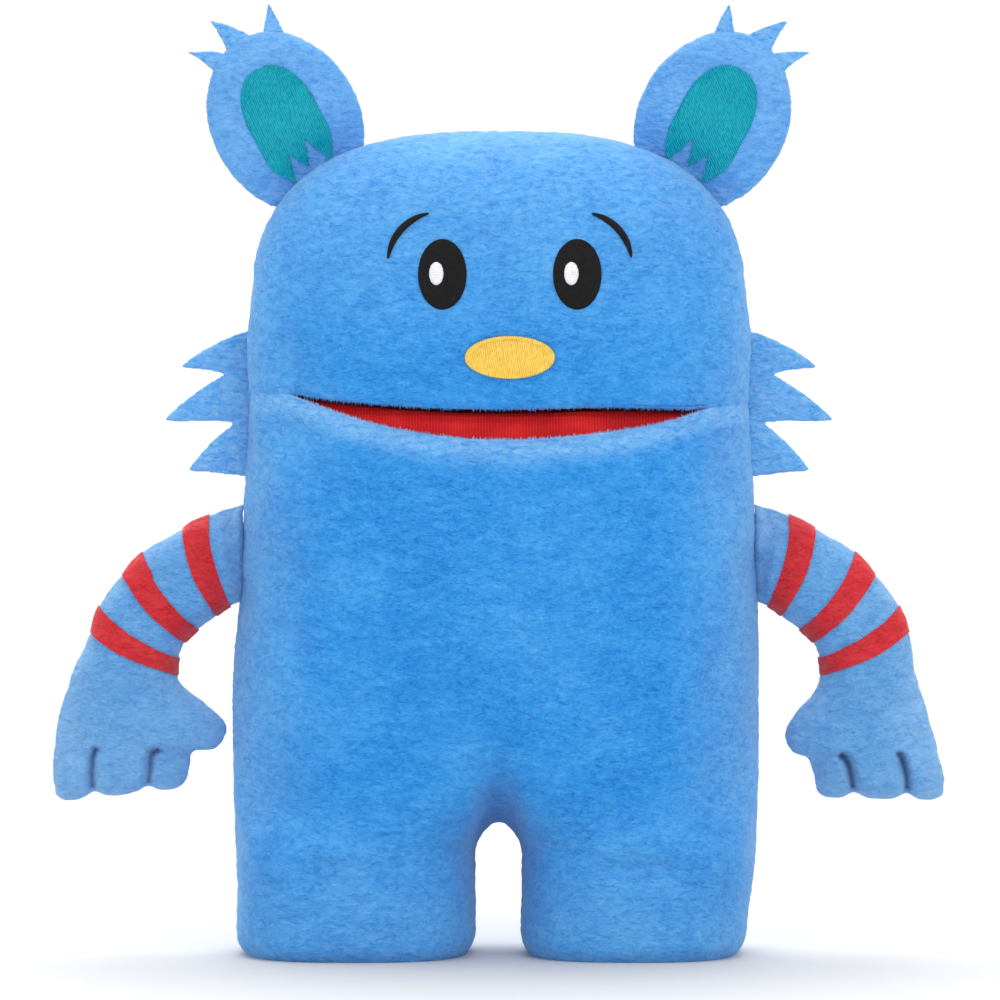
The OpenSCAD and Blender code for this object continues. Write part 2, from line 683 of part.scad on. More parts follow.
// Three pointed tufts in the seam on the ear's outer shoulder: [angle round the ear, share of length]
tufts = [[108, 1], [86, 0.85], [70, 0.75]];
tuft_t = 1.6;
tuft_half = 5;
// Distance from the middle of the ear to its edge at an angle
function ear_reach(a) =
    ear_half * ear_rise / sqrt(pow(ear_rise * cos(a), 2) + pow(ear_half * sin(a), 2));
module ear_tufts()
    color(plush) for (tuft = tufts)
        translate([ear_centre[0], tuft_t / 2, ear_centre[1]]) rotate([90, 0, 0])
            linear_extrude(tuft_t) rotate(tuft[0] - ear_lean)
                translate([ear_reach(tuft[0]) + body_gap, 0])
                    polygon([[0, -tuft_half], [tuft_length * tuft[1], 1], [0, tuft_half]]);

module left_ear_front() mirrored_left() color(plush) ear_cover();
module right_ear_front() mirrored_right() color(plush) ear_cover();
module left_ear_back() mirrored_left() color(plush) mirror([0, 1, 0]) ear_cover();
module right_ear_back() mirrored_right() color(plush) mirror([0, 1, 0]) ear_cover();
module left_ear_wadding() mirrored_left() ear_wadding();
module right_ear_wadding() mirrored_right() ear_wadding();
module left_ear_patch() mirrored_left() ear_patch();
module right_ear_patch() mirrored_right() ear_patch();
module left_ear_tufts() mirrored_left() ear_tufts();
module right_ear_tufts() mirrored_right() ear_tufts();

torso_front_panel();
lower_back_panel();
upper_back_panel();
chin_panel();
nape_panel();
left_foot_sole();
right_foot_sole();
left_leg_stuffing();
right_leg_stuffing();
belly_stuffing();
hand_sleeve();
opening_binding();
left_cheek_fringe();
right_cheek_fringe();
tongue_lining();
lower_jaw_board();
thumb_pocket();
face_panel();
head_back_panel();
head_stuffing();
palate_lining();
upper_jaw_board();
finger_pocket();
left_eye_patch();
right_eye_patch();
left_eye_highlight();
right_eye_highlight();
left_brow();
right_brow();
nose_patch();
left_shoulder_strip();
right_shoulder_strip();
left_arm_front();
right_arm_front();
left_arm_back();
right_arm_back();
left_arm_bands();
right_arm_bands();
left_arm_stuffing();
right_arm_stuffing();
left_ear_front();
right_ear_front();
left_ear_back();
right_ear_back();
left_ear_wadding();
right_ear_wadding();
left_ear_patch();
right_ear_patch();
left_ear_tufts();
right_ear_tufts();
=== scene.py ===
# %% [markdown]
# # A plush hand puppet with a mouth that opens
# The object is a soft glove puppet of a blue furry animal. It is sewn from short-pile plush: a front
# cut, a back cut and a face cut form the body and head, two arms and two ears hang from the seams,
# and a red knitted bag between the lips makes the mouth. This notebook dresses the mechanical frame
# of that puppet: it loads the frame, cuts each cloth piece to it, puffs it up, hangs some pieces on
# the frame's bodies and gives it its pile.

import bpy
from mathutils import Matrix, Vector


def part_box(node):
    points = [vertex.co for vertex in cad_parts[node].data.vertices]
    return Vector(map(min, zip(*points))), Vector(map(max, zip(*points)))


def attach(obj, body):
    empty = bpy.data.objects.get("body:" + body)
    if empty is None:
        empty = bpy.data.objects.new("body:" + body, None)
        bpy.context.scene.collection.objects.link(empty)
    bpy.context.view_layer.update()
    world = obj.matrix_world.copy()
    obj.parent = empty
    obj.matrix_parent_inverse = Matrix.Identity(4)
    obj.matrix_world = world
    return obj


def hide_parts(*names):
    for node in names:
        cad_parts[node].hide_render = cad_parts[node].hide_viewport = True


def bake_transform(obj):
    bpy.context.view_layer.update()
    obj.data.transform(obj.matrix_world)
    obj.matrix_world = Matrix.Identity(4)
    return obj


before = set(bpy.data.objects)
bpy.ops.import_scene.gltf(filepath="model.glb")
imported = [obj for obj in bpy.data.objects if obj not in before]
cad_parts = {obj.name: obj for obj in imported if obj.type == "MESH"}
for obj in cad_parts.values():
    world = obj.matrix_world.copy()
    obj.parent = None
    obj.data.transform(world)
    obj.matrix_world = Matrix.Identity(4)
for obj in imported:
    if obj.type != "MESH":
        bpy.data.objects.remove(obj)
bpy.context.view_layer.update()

# %% [markdown]
# ## Tools of the workshop
# Python's own json and math modules, numpy for moving many points at once, and Blender's noise for
# the unevenness that every plush has. All sizes below are in millimetres, and points are turned into
# metres only when they are written to a mesh.

# %% imports and small helpers
import math

import bpy
import numpy as np
from mathutils import Vector, noise

MM = 0.001


def mix(a, b, t):
    return a + (b - a) * t


def smooth(t):
    t = np.clip(t, 0.0, 1.0)
    return t * t * (3 - 2 * t)


def corner(node, side):
    """Lowest (side 0) or highest (side 1) corner of a frame node, in millimetres."""
    return [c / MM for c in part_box(node)[side]]


def points_of(obj):
    co = np.empty(len(obj.data.vertices) * 3)
    obj.data.vertices.foreach_get("co", co)
    return co.reshape(-1, 3) / MM


def set_points(obj, co):
    obj.data.vertices.foreach_set("co", (np.asarray(co) * MM).ravel())
    obj.data.update()


def only(obj):
    """Selects one object and makes it active, with everything else deselected."""
    bpy.ops.object.select_all(action="DESELECT")
    obj.select_set(True)
    bpy.context.view_layer.objects.active = obj


def apply_modifier(obj, kind, **settings):
    """Adds a modifier, sets it up and applies it."""
    only(obj)
    mod = obj.modifiers.new(kind.title(), kind)
    for key, value in settings.items():
        setattr(mod, key, value)
    bpy.ops.object.modifier_apply(modifier=mod.name)


print("helpers ready")

# %% [markdown]
# ## The shape of the body
# A stuffed animal's outline is a soft box: nearly straight sides, a domed head and short legs. Front
# to back it is a flattened superellipse. The measures come from the frame's nodes, so that cloth and
# frame agree, and the same few functions place every body piece.

# %% body measures
MOUTH_Z = corner("palate_lining", 0)[2] + 2
HEAD_TOP = corner("face_panel", 1)[2]
HALF_W = corner("face_panel", 1)[0]
HIP_HALF = corner("left_foot_sole", 1)[0] + 3.5
BODY_HALF_D = -corner("torso_front_panel", 0)[1] - 0.2
HEAD_HALF_D = -corner("face_panel", 0)[1] - 0.2
DOME_Z = MOUTH_Z + 17
CROTCH_Z = 49.0
LEG_GAP_HALF = 8.5
MOUTH_HALF = 75.0
BELLY_SWELL = 3.5
DOME_POWER = 2.85
DEPTH_POWER = 1 / 2.2
PLUSH = 2.5
SEAM = 0.15
print("mouth height", round(MOUTH_Z, 1), "head top", round(HEAD_TOP, 1), "half width",
      round(HALF_W, 1))


def side_half(z):
    """Half the body's width at a height."""
    low = mix(HIP_HALF, HALF_W, np.minimum(z, MOUTH_Z) / MOUTH_Z)
    return low + BELLY_SWELL * np.sin(np.pi * np.minimum(z, MOUTH_Z) / MOUTH_Z)


def half_depth(z):
    return mix(BODY_HALF_D, HEAD_HALF_D, smooth((z - MOUTH_Z + 13) / 27))


def rounding(r):
    return np.maximum(0, 1 - np.abs(r) ** 3) ** DEPTH_POWER


def crotch(x):
    return CROTCH_Z - 9 * np.minimum(1, np.abs(x) / LEG_GAP_HALF) ** 2


def torso_depth(x, z, rise):
    """How far the skin stands from the body's middle plane, legs and crotch included."""
    w = side_half(z)
    fill = 1 - (1 - np.clip((z - crotch(x)) / rise, 0, 1)) ** 3
    leg = rounding((np.abs(x) - (w + LEG_GAP_HALF) / 2) / ((w - LEG_GAP_HALF) / 2))
    return half_depth(z) * mix(leg, rounding(x / w), fill)


def dome_top(x):
    s = np.minimum(1, np.abs(x) / HALF_W)
    return DOME_Z + (HEAD_TOP - DOME_Z) * np.maximum(0, 1 - s**DOME_POWER) ** (1 / DOME_POWER)


def dome_level(x, z):
    """0 in the middle of the head, 1 on its outline."""
    level = (np.abs(x) / HALF_W) ** DOME_POWER
    return level + (np.maximum(0, z - DOME_Z) / (HEAD_TOP - DOME_Z)) ** DOME_POWER


def head_depth(x, z):
    return half_depth(z) * np.maximum(0, 1 - dome_level(x, z)) ** DEPTH_POWER


def lip(x, sag):
    """Height of a lip. It hangs by sag at its middle, and the mouth is sewn a little askew."""
    askew = 0.5 - 5.0 * np.exp(-(((x - 78) / (22 + sag)) ** 2))
    return MOUTH_Z + askew - sag * np.maximum(0, 1 - (x / MOUTH_HALF) ** 2)


def lopsided(x, z):
    """Hand stuffing is never even: the right side is fuller and the left foot is narrower."""
    fuller = 0.024 * smooth((138 - z) / 40) + 0.012 * smooth((30 - z) / 30)
    return x * (1 + np.where(x < 0, fuller, -0.03 * smooth((40 - z) / 40)))


UPPER_SAG, LOWER_SAG = 5.0, 15.5
FRONT_RISE, BACK_RISE = 38, 14     # how far above the crotch the two legs merge into one belly
LIP_LEVEL = 200.0                  # the height at which the body's depth is read for the lips

# %% [markdown]
# ## Cutting cloth
# Each piece of cloth starts as a flat grid. Every grid point has a place across the cloth, u, and a
# place up the cloth, v, both from 0 to 1, and a rule carries it to where that spot of the cloth lies
# on the puppet. The grid stays coarse at first, because cloth simulates best on a few thousand
# points, and is subdivided afterwards.


# %% a grid that follows a rule
def cut(name, cols, rows, place):
    bpy.ops.object.select_all(action="DESELECT")
    bpy.ops.mesh.primitive_grid_add(x_subdivisions=cols, y_subdivisions=rows, size=2)
    obj = bpy.context.object
    obj.name = obj.data.name = name
    flat = points_of(obj) * MM
    u, v = (flat[:, 0] + 1) / 2, (flat[:, 1] + 1) / 2
    set_points(obj, np.stack(place(u, v), axis=1))
    return obj


def rim(obj):
    """Indices of the points on the cloth's free edges."""
    count = {}
    for face in obj.data.polygons:
        for edge in face.edge_keys:
            count[edge] = count.get(edge, 0) + 1
    return sorted({i for edge, n in count.items() if n == 1 for i in edge})


def weld(obj, distance=0.05):
    """Closes a tube's seam and its ends, and turns all faces outwards."""
    only(obj)
    bpy.ops.object.mode_set(mode="EDIT")
    bpy.ops.mesh.select_all(action="SELECT")
    bpy.ops.mesh.remove_doubles(threshold=distance * MM)
    bpy.ops.mesh.normals_make_consistent(inside=False)
    bpy.ops.object.mode_set(mode="OBJECT")


def join(objs, name):
    bpy.ops.object.select_all(action="DESELECT")
    for obj in objs:
        obj.select_set(True)
    bpy.context.view_layer.objects.active = objs[0]
    if len(objs) > 1:
        bpy.ops.object.join()
    objs[0].name = objs[0].data.name = name
    return objs[0]


# %% [markdown]
# ## Puffing it up
# A stuffed toy owes its look to pressure inside cloth that is held at its seams. Blender's cloth does
# this: the seam points are pinned, the cloth is cut a little too large so that it puckers, gravity is
# off, and pressure pushes from inside for twenty frames. No point may move further than a cap, so the
# piece keeps the frame's size.


# %% cloth simulation with pinned seams
SIM_FRAMES = 20


def puff(obj, pinned, pressure=4.0, slack=0.03, cap=4.0, stiffness=12.0):
    before = points_of(obj)
    group = obj.vertex_groups.new(name="sewn")
    group.add([int(i) for i in pinned], 1.0, "REPLACE")
    only(obj)
    mod = obj.modifiers.new("Cloth", "CLOTH")
    cloth = mod.settings
    cloth.quality = 6
    cloth.mass = 0.3
    cloth.tension_stiffness = cloth.compression_stiffness = stiffness
    cloth.shear_stiffness = stiffness / 3
    cloth.bending_stiffness = 0.6
    cloth.air_damping = 4
    cloth.use_pressure = True
    cloth.uniform_pressure_force = pressure
    cloth.shrink_min = -slack
    cloth.vertex_group_mass = "sewn"
    cloth.effector_weights.gravity = 0
    mod.collision_settings.use_collision = False
    for f in range(1, SIM_FRAMES + 1):
        bpy.context.scene.frame_set(f)
    bpy.ops.object.modifier_apply(modifier=mod.name)
    bpy.context.scene.frame_set(1)
    move = points_of(obj) - before
    far = np.linalg.norm(move, axis=1)
    keep = np.minimum(1, cap / np.maximum(far, 1e-6))
    set_points(obj, before + move * keep[:, None])
    obj.vertex_groups.clear()
    print(obj.name, "puffed: mean move", round(float(far.mean()), 2), "mm, most",
          round(float(far.max()), 2))


# %% [markdown]
# ## Raising the pile
# Plush isn't smooth: its pile lies in small brushed tongues. The outer surface is moved along its
# normals by noise in two sizes, the finer one drawn out sideways as brushed pile is, and the rest of
# the pile is left to the material.


# %% pile relief
def raise_pile(obj, height=0.35, long=3.2, patch=9.0):
    """Moves the surface by height millimetres of noise, in lumps of long and patch millimetres."""
    co = points_of(obj)
    normals = np.empty(len(co) * 3)
    obj.data.vertices.foreach_get("normal", normals)
    normals = normals.reshape(-1, 3)
    rise = np.array([
        noise.noise(Vector((x / long, y / long, 2.2 * z / long)))
        + 0.8 * noise.noise(Vector((x / patch, y / patch, 1.3 * z / patch + 40)))
        for x, y, z in co
    ])
    set_points(obj, co + normals * (height * rise)[:, None])


def shade(obj, angle=60):
    only(obj)
    bpy.ops.object.shade_smooth_by_angle(angle=math.radians(angle))


print("pile helpers ready")

# %% [markdown]
# ## Colours and finishes
# All finishes are node materials on object coordinates. Plush gets its blue from four sizes of noise:
# wide patches, brushed patches where the pile lies the other way, thin dark partings and fibres. It has
# painted sheen, a paler colour, at the side seams, the feet, the head's top and below the lower lip.
# Sheen on the shader gives the rim that pile shows. Embroidery is satin thread: fine
# parallel ridges with a soft gloss. The mouth is a ribbed knit.


# %% material helpers
def colour(text):
    """A colour from its usual six-figure web form, as linear light."""
    parts = [int(text[i : i + 2], 16) / 255 for i in (1, 3, 5)]
    return tuple(p / 12.92 if p < 0.04045 else ((p + 0.055) / 1.055) ** 2.4 for p in parts) + (1.0,)


def new_material(name, roughness, sheen=0.0, sheen_tint="#FFFFFF", sheen_roughness=0.4,
                 specular=0.3):
    mat = bpy.data.materials.new(name)
    mat.use_nodes = True
    shader = mat.node_tree.nodes["Principled BSDF"]
    shader.inputs["Roughness"].default_value = roughness
    shader.inputs["Specular IOR Level"].default_value = specular
    shader.inputs["Sheen Weight"].default_value = sheen
    shader.inputs["Sheen Tint"].default_value = colour(sheen_tint)
    shader.inputs["Sheen Roughness"].default_value = sheen_roughness
    return mat, mat.node_tree, shader


def place_coords(tree, stretch=(1, 1, 1), turn=(0, 0, 0)):
    coords = tree.nodes.new("ShaderNodeTexCoord")
    mapping = tree.nodes.new("ShaderNodeMapping")
    mapping.inputs["Scale"].default_value = stretch
    mapping.inputs["Rotation"].default_value = turn
    tree.links.new(coords.outputs["Object"], mapping.inputs["Vector"])
    return mapping.outputs["Vector"]


def grain(tree, vector, size, detail=2.0, distortion=0.0, rough=0.5):
    """Noise whose lumps are about size millimetres."""
    node = tree.nodes.new("ShaderNodeTexNoise")
    node.inputs["Scale"].default_value = 1000 / size
    node.inputs["Detail"].default_value = detail
    node.inputs["Distortion"].default_value = distortion
    node.inputs["Roughness"].default_value = rough
    tree.links.new(vector, node.inputs["Vector"])
    return node.outputs["Fac"]


def stripes(tree, vector, pitch, distortion=0.5, axis="X"):
    """Parallel ridges pitch millimetres apart."""
    node = tree.nodes.new("ShaderNodeTexWave")
    node.bands_direction = axis
    # At scale 1 this texture's period is pi / 10 metres.
    node.inputs["Scale"].default_value = 1000 / pitch * math.pi / 10
    node.inputs["Distortion"].default_value = distortion
    node.inputs["Detail"].default_value = 1.0
    node.inputs["Detail Scale"].default_value = 2.0
    tree.links.new(vector, node.inputs["Vector"])
    return node.outputs["Fac"]


def ramp(tree, value, stops):
    """Colours along a value: [(place, colour text)]."""
    node = tree.nodes.new("ShaderNodeValToRGB")
    first, last = node.color_ramp.elements[0], node.color_ramp.elements[1]
    first.position, last.position = stops[0][0], stops[-1][0]
    first.color, last.color = colour(stops[0][1]), colour(stops[-1][1])
    for place, text in stops[1:-1]:
        node.color_ramp.elements.new(place).color = colour(text)
    tree.links.new(value, node.inputs["Fac"])
    return node.outputs["Color"]


def blend_colours(tree, a, b, share):
    """Mixes two colours. share, a number or a socket, is how much of the second there is."""
    node = tree.nodes.new("ShaderNodeMix")
    node.data_type = "RGBA"
    node.inputs["Factor"].default_value = 1.0
    if isinstance(share, float):
        node.inputs["Factor"].default_value = share
    else:
        tree.links.new(share, node.inputs["Factor"])
    tree.links.new(a, node.inputs[6])
    tree.links.new(b, node.inputs[7])
    return node.outputs[2]


def fit_range(tree, value, low, high, to_low=0.0, to_high=1.0):
    node = tree.nodes.new("ShaderNodeMapRange")
    for key, number in zip(("From Min", "From Max", "To Min", "To Max"), (low, high, to_low, to_high)):
        node.inputs[key].default_value = number
    tree.links.new(value, node.inputs["Value"])
    return node.outputs["Result"]


def add_bump(tree, shader, layers):
    """Stacks bump layers: [(height socket, depth in millimetres, strength)]."""
    normal = None
    for height, depth, strength in layers:
        node = tree.nodes.new("ShaderNodeBump")
        node.inputs["Distance"].default_value = depth * MM
        node.inputs["Strength"].default_value = strength
        tree.links.new(height, node.inputs["Height"])
        if normal is not None:
            tree.links.new(normal, node.inputs["Normal"])
        normal = node.outputs["Normal"]
    tree.links.new(normal, shader.inputs["Normal"])


print("material helpers ready")


# %% plush
BODY_MIDDLE = 140       # the height that the feet and the head's top are measured from


def painted_sheen(tree, reach):
    """Mask of painted sheen, the paler pile colour where light grazes the pile: 1 at the side seams,
    which lie in the middle plane, falling to 0 at reach millimetres, up to 0.7 at the head's top
    and the feet, and wherever a piece's own painted-sheen attribute says so."""
    coords = tree.nodes.new("ShaderNodeTexCoord")
    split = tree.nodes.new("ShaderNodeSeparateXYZ")
    size = tree.nodes.new("ShaderNodeMath")
    size.operation = "ABSOLUTE"
    tree.links.new(coords.outputs["Object"], split.inputs["Vector"])
    tree.links.new(split.outputs["Y"], size.inputs[0])
    seam = fit_range(tree, size.outputs[0], 0.0, reach * MM, 1.0, 0.0)
    height = tree.nodes.new("ShaderNodeMath")
    height.operation = "SUBTRACT"
    height.inputs[1].default_value = BODY_MIDDLE * MM
    tree.links.new(split.outputs["Z"], height.inputs[0])
    away = tree.nodes.new("ShaderNodeMath")
    away.operation = "ABSOLUTE"
    tree.links.new(height.outputs[0], away.inputs[0])
    ends = fit_range(tree, away.outputs[0], 75 * MM, 170 * MM, 0.0, 0.7)
    lips = tree.nodes.new("ShaderNodeAttribute")
    lips.attribute_name = "lip_sheen"
    most = seam
    for other in (ends, lips.outputs["Fac"]):
        larger = tree.nodes.new("ShaderNodeMath")
        larger.operation = "MAXIMUM"
        tree.links.new(most, larger.inputs[0])
        tree.links.new(other, larger.inputs[1])
        most = larger.outputs[0]
    return most


def plush_material(name, deep, body, pale, parting, rim, seam_reach, sheen=0.6):
    mat, tree, shader = new_material(name, 0.92, sheen, rim, 0.35, 0.12)
    even = place_coords(tree)
    flat = place_coords(tree, (1, 1, 2.2))
    wide = grain(tree, even, 36, 3.0, 0.4)
    brushed = grain(tree, flat, 10, 4.0, 0.6)
    tongues = grain(tree, flat, 3.4, 3.0, 0.7, 0.65)
    fibres = grain(tree, flat, 1.3, 3.0, 0.0, 0.75)
    base = ramp(tree, wide, [(0.34, deep), (0.50, body), (0.66, pale)])
    patches = ramp(tree, brushed, [(0.36, deep), (0.50, body), (0.64, pale)])
    both = blend_colours(tree, base, patches, 0.45)
    dark = ramp(tree, tongues, [(0.34, parting), (0.48, body), (0.68, pale)])
    mottled = blend_colours(tree, both, dark, 0.42)
    hairs = ramp(tree, fibres, [(0.30, parting), (0.5, body), (0.72, pale)])
    woven = blend_colours(tree, mottled, hairs, 0.34)
    # Painted sheen: the pile is painted towards the paler sheen colour at the side seams, the head's
    # top, the feet and below the lower lip.
    painted_sheen_colour = ramp(tree, tongues, [(0.3, pale), (0.7, rim)])
    edge = fit_range(tree, painted_sheen(tree, seam_reach), 0.0, 1.0, 0.0, 0.42)
    tree.links.new(blend_colours(tree, woven, painted_sheen_colour, edge), shader.inputs["Base Color"])
    add_bump(tree, shader, [(tongues, 1.2, 0.7), (fibres, 0.7, 0.8)])
    return mat


body_plush = plush_material("body_plush", "#1C72CA", "#2E90DE", "#5CB0EE", "#0C54A8", "#BADAF4", 42)
ear_plush = plush_material("ear_plush", "#2C7CD0", "#4294DE", "#68ACE8", "#1862B8", "#B0D2F0", 9)
arm_plush = plush_material("arm_plush", "#4686C6", "#5E9CD6", "#82B6E4", "#2C6CB4", "#BCD8F0", 12)
# A lit copy of the body's plush, paler as painted light, for the pile on the lower lip.
lit_lip_plush = plush_material("lit_lip_plush", "#5A9DE6", "#7FB8F0", "#A6D0F8", "#3B80D4", "#D5E8FF", 40,
                            0.7)
band_plush = plush_material("red_plush", "#B01C28", "#CC3138", "#D8484C", "#981420", "#E89090", 10, 0.3)
print("plush in", [m.name for m in (body_plush, arm_plush, band_plush)])


# %% knit, thread, lining, filling and board
def knit_material():
    """Ribbed knit: the ribs are modelled, and the material adds the stitches along them."""
    mat, tree, shader = new_material("red_knit", 0.75, 0.25, "#FF9090", 0.5, 0.2)
    even = place_coords(tree)
    stitches = stripes(tree, even, 1.1, 1.5, "X")
    wear = grain(tree, even, 14, 3.0)
    fuzz = grain(tree, even, 0.7, 2.0)
    red = ramp(tree, wear, [(0.3, "#A50F16"), (0.5, "#C4161C"), (0.7, "#DA2A2A")])
    lines = ramp(tree, stitches, [(0.0, "#9A0C14"), (0.5, "#C4161C"), (1.0, "#D62A2C")])
    tree.links.new(blend_colours(tree, red, lines, 0.4), shader.inputs["Base Color"])
    add_bump(tree, shader, [(stitches, 0.25, 0.6), (fuzz, 0.3, 0.4)])
    return mat


def thread_material(name, deep, body, pale, pitch=0.55, turn=0.0, gloss=0.42):
    """Satin embroidery: fine ridges of thread that lie side by side."""
    mat, tree, shader = new_material(name, gloss, 0.02, pale, 0.3, 0.22)
    along = place_coords(tree, turn=(0, turn, 0))
    threads = stripes(tree, along, pitch, 1.2, "X")
    rows = grain(tree, place_coords(tree, (3, 1, 1), (0, turn, 0)), 1.6, 2.0)
    fuzz = grain(tree, along, 0.35, 1.0)
    lit = ramp(tree, threads, [(0.0, deep), (0.55, body), (1.0, pale)])
    patchy = ramp(tree, rows, [(0.3, deep), (0.5, body), (0.72, pale)])
    tree.links.new(blend_colours(tree, lit, patchy, 0.5), shader.inputs["Base Color"])
    add_bump(tree, shader, [(threads, 0.30, 0.8), (rows, 0.35, 0.5), (fuzz, 0.1, 0.4)])
    return mat


def cloth_material(name, deep, body, pale):
    """Plain woven lining: warp and weft as two crossed sets of ridges."""
    mat, tree, shader = new_material(name, 0.7, 0.2, pale, 0.4, 0.3)
    even = place_coords(tree)
    warp = stripes(tree, even, 0.7, 0.3, "X")
    weft = stripes(tree, even, 0.7, 0.3, "Z")
    folds = grain(tree, even, 22, 3.0)
    tone = ramp(tree, folds, [(0.3, deep), (0.5, body), (0.7, pale)])
    weave = ramp(tree, warp, [(0.0, deep), (1.0, pale)])
    tree.links.new(blend_colours(tree, tone, weave, 0.25), shader.inputs["Base Color"])
    add_bump(tree, shader, [(warp, 0.12, 0.6), (weft, 0.12, 0.6), (folds, 1.0, 0.3)])
    return mat


def filling_material():
    mat, tree, shader = new_material("polyester_fill", 0.95, 0.4, "#FFFFFF", 0.6, 0.1)
    even = place_coords(tree)
    lumps = grain(tree, even, 7, 4.0, 1.0)
    strands = grain(tree, even, 1.1, 3.0, 2.0)
    tone = ramp(tree, lumps, [(0.3, "#D8D8D0"), (0.5, "#EDEDE6"), (0.7, "#FAFAF6")])
    tree.links.new(tone, shader.inputs["Base Color"])
    add_bump(tree, shader, [(lumps, 2.0, 0.6), (strands, 0.6, 0.8)])
    return mat


def board_material():
    mat, tree, shader = new_material("jaw_board", 0.6, 0.0, "#FFFFFF", 0.4, 0.4)
    even = place_coords(tree)
    cloudy = grain(tree, even, 18, 3.0)
    scuffs = grain(tree, place_coords(tree, (0.3, 1, 1)), 1.2, 4.0, 1.0)
    tone = ramp(tree, cloudy, [(0.3, "#7C7C78"), (0.5, "#8A8A86"), (0.7, "#969692")])
    marks = ramp(tree, scuffs, [(0.35, "#74746F"), (0.5, "#8A8A86"), (0.8, "#9C9C98")])
    tree.links.new(blend_colours(tree, tone, marks, 0.4), shader.inputs["Base Color"])
    add_bump(tree, shader, [(scuffs, 0.1, 0.4)])
    return mat


red_knit = knit_material()
teal_thread = thread_material(
    "teal_thread", "#00748A", "#009AAE", "#06B8CA",
    0.8, math.radians(25), 0.5)
yellow_thread = thread_material(
    "yellow_thread", "#DDA52C", "#F5C84B", "#FFE283",
    0.8, math.radians(8), 0.4)
black_thread = thread_material(
    "black_thread", "#020203", "#050506", "#131316",
    0.6, math.radians(12), 0.55)
white_thread = thread_material(
    "white_thread", "#D9D9E4", "#F4F4FA", "#FFFFFF",
    0.6, math.radians(90), 0.4)
lining_cloth = cloth_material("lining_cloth", "#27609F", "#2F6FB5", "#4A86C8")
polyester_fill = filling_material()
jaw_board = board_material()
print("finishes:", len(bpy.data.materials))


# %% dressing a piece
def dress(obj, material):
    obj.data.materials.clear()
    obj.data.materials.append(material)
    return obj


def sew(obj, weight):
    """Bakes a piece's transform into its points and works out a weight from 0 to 1 for each point with
    weight(x, y, z). On the puppet the mouth's corners stay sewn while the middle of each lip moves;
    the weights are not kept."""
    co = points_of(obj)
    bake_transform(obj)
    values = np.clip(weight(co[:, 0], co[:, 1], co[:, 2]), 0, 1).astype(np.float32)
    return obj


def beside(x):
    """0 in the middle of the mouth, 1 past its corners."""
    return smooth((np.abs(x) - 38) / 38)


def back_weight(x, y, z):
    return smooth((z - MOUTH_Z + 1) / 55)


def face_weight(x, y, z):
    return 1 - beside(x) * (1 - back_weight(x, y, z))


def jaw_weight(x, y, z):
    return (1 - beside(x)) * smooth((z - MOUTH_Z + 58) / 43)


print("sewing helpers ready")

# %% [markdown]
# ## The front of the body
# One cut of plush makes the belly, the chin and the fronts of both legs. Its rows run from the floor
# to the lower lip, and its middle columns stop at the crotch, so the grid's faces between the legs
# are deleted before the cloth is placed.


# %% columns and rows of a legged cut
LEG_COLS, GAP_COLS = 20, 6
COLS = 2 * LEG_COLS + GAP_COLS


def column_x(u):
    """Which leg a column is on and where, as a signed share, or its place in the gap."""
    c = u * COLS
    left, right = c < LEG_COLS, c > LEG_COLS + GAP_COLS
    share = np.where(left, 1 - c / LEG_COLS, (c - LEG_COLS - GAP_COLS) / LEG_COLS)
    share = (1 - np.cos(np.pi * np.clip(share, 0, 1))) / 2
    gap = np.clip((c - LEG_COLS) / GAP_COLS, 0, 1) * 2 - 1
    return np.where(left, -1, np.where(right, 1, 0)), share, gap


def leg_x(u, z, half):
    side, share, gap = column_x(u)
    return np.where(side == 0, gap * LEG_GAP_HALF, side * mix(LEG_GAP_HALF, half, share))


def in_gap(u):
    c = u * COLS
    return (c > LEG_COLS) & (c < LEG_COLS + GAP_COLS)


def remove_faces(obj, unwanted):
    """Deletes the faces of a flat grid whose middles answer to unwanted(u, v)."""
    only(obj)
    bpy.context.tool_settings.mesh_select_mode = (False, False, True)
    for face in obj.data.polygons:
        u, v = (face.center.x + 1) / 2, (face.center.y + 1) / 2
        face.select = bool(unwanted(u, v))
    bpy.ops.object.mode_set(mode="EDIT")
    bpy.ops.mesh.delete(type="FACE")
    bpy.ops.object.mode_set(mode="OBJECT")


def cut_with_holes(name, cols, rows, place, unwanted):
    """Cuts a flat grid, deletes the faces that unwanted(u, v) picks, and then places the rest."""
    obj = cut(name, cols, rows, lambda u, v: (2 * u - 1, 2 * v - 1, 0 * u))
    set_points(obj, points_of(obj) / MM)     # back to a flat square from -1 to 1
    remove_faces(obj, unwanted)
    flat = points_of(obj) * MM
    u, v = (flat[:, 0] + 1) / 2, (flat[:, 1] + 1) / 2
    set_points(obj, np.stack(place(u, v), axis=1))
    return obj


def tuck_sole(x, y, z):
    """Rounds the cloth inwards over the last few millimetres above the floor."""
    inset = 3.0 * (1 - np.sqrt(np.maximum(0, 1 - (1 - np.clip(z / 3.5, 0, 1)) ** 2)))
    middle = np.sign(x) * (HIP_HALF + LEG_GAP_HALF) / 2
    k = 1 - inset / 42
    return lopsided(middle + (x - middle) * k, z), y * k, z


def roll_edge(co, gap, depth=2.2, width=3.5):
    """Turns a lip's edge in: gap is each point's distance from the edge."""
    turn = depth * (1 - np.sqrt(np.maximum(0, 1 - (1 - np.clip(gap / width, 0, 1)) ** 2)))
    turn = turn * (1 - 0.8 * smooth((np.abs(co[:, 0]) - MOUTH_HALF + 2) / 6))
    co[:, 1] += turn * np.sign(-co[:, 1] + 1e-9)
    return co


def seam_overlap(x):
    """The lips stay apart, but past the mouth's corners the face and the body lap in their seam."""
    return mix(-0.4, 0.5, smooth((np.abs(x) - MOUTH_HALF + 3) / 6))


# %% front cover
FRONT_LEG_ROWS, FRONT_ROWS = 9, 44
FRONT_SPLIT = FRONT_LEG_ROWS / FRONT_ROWS


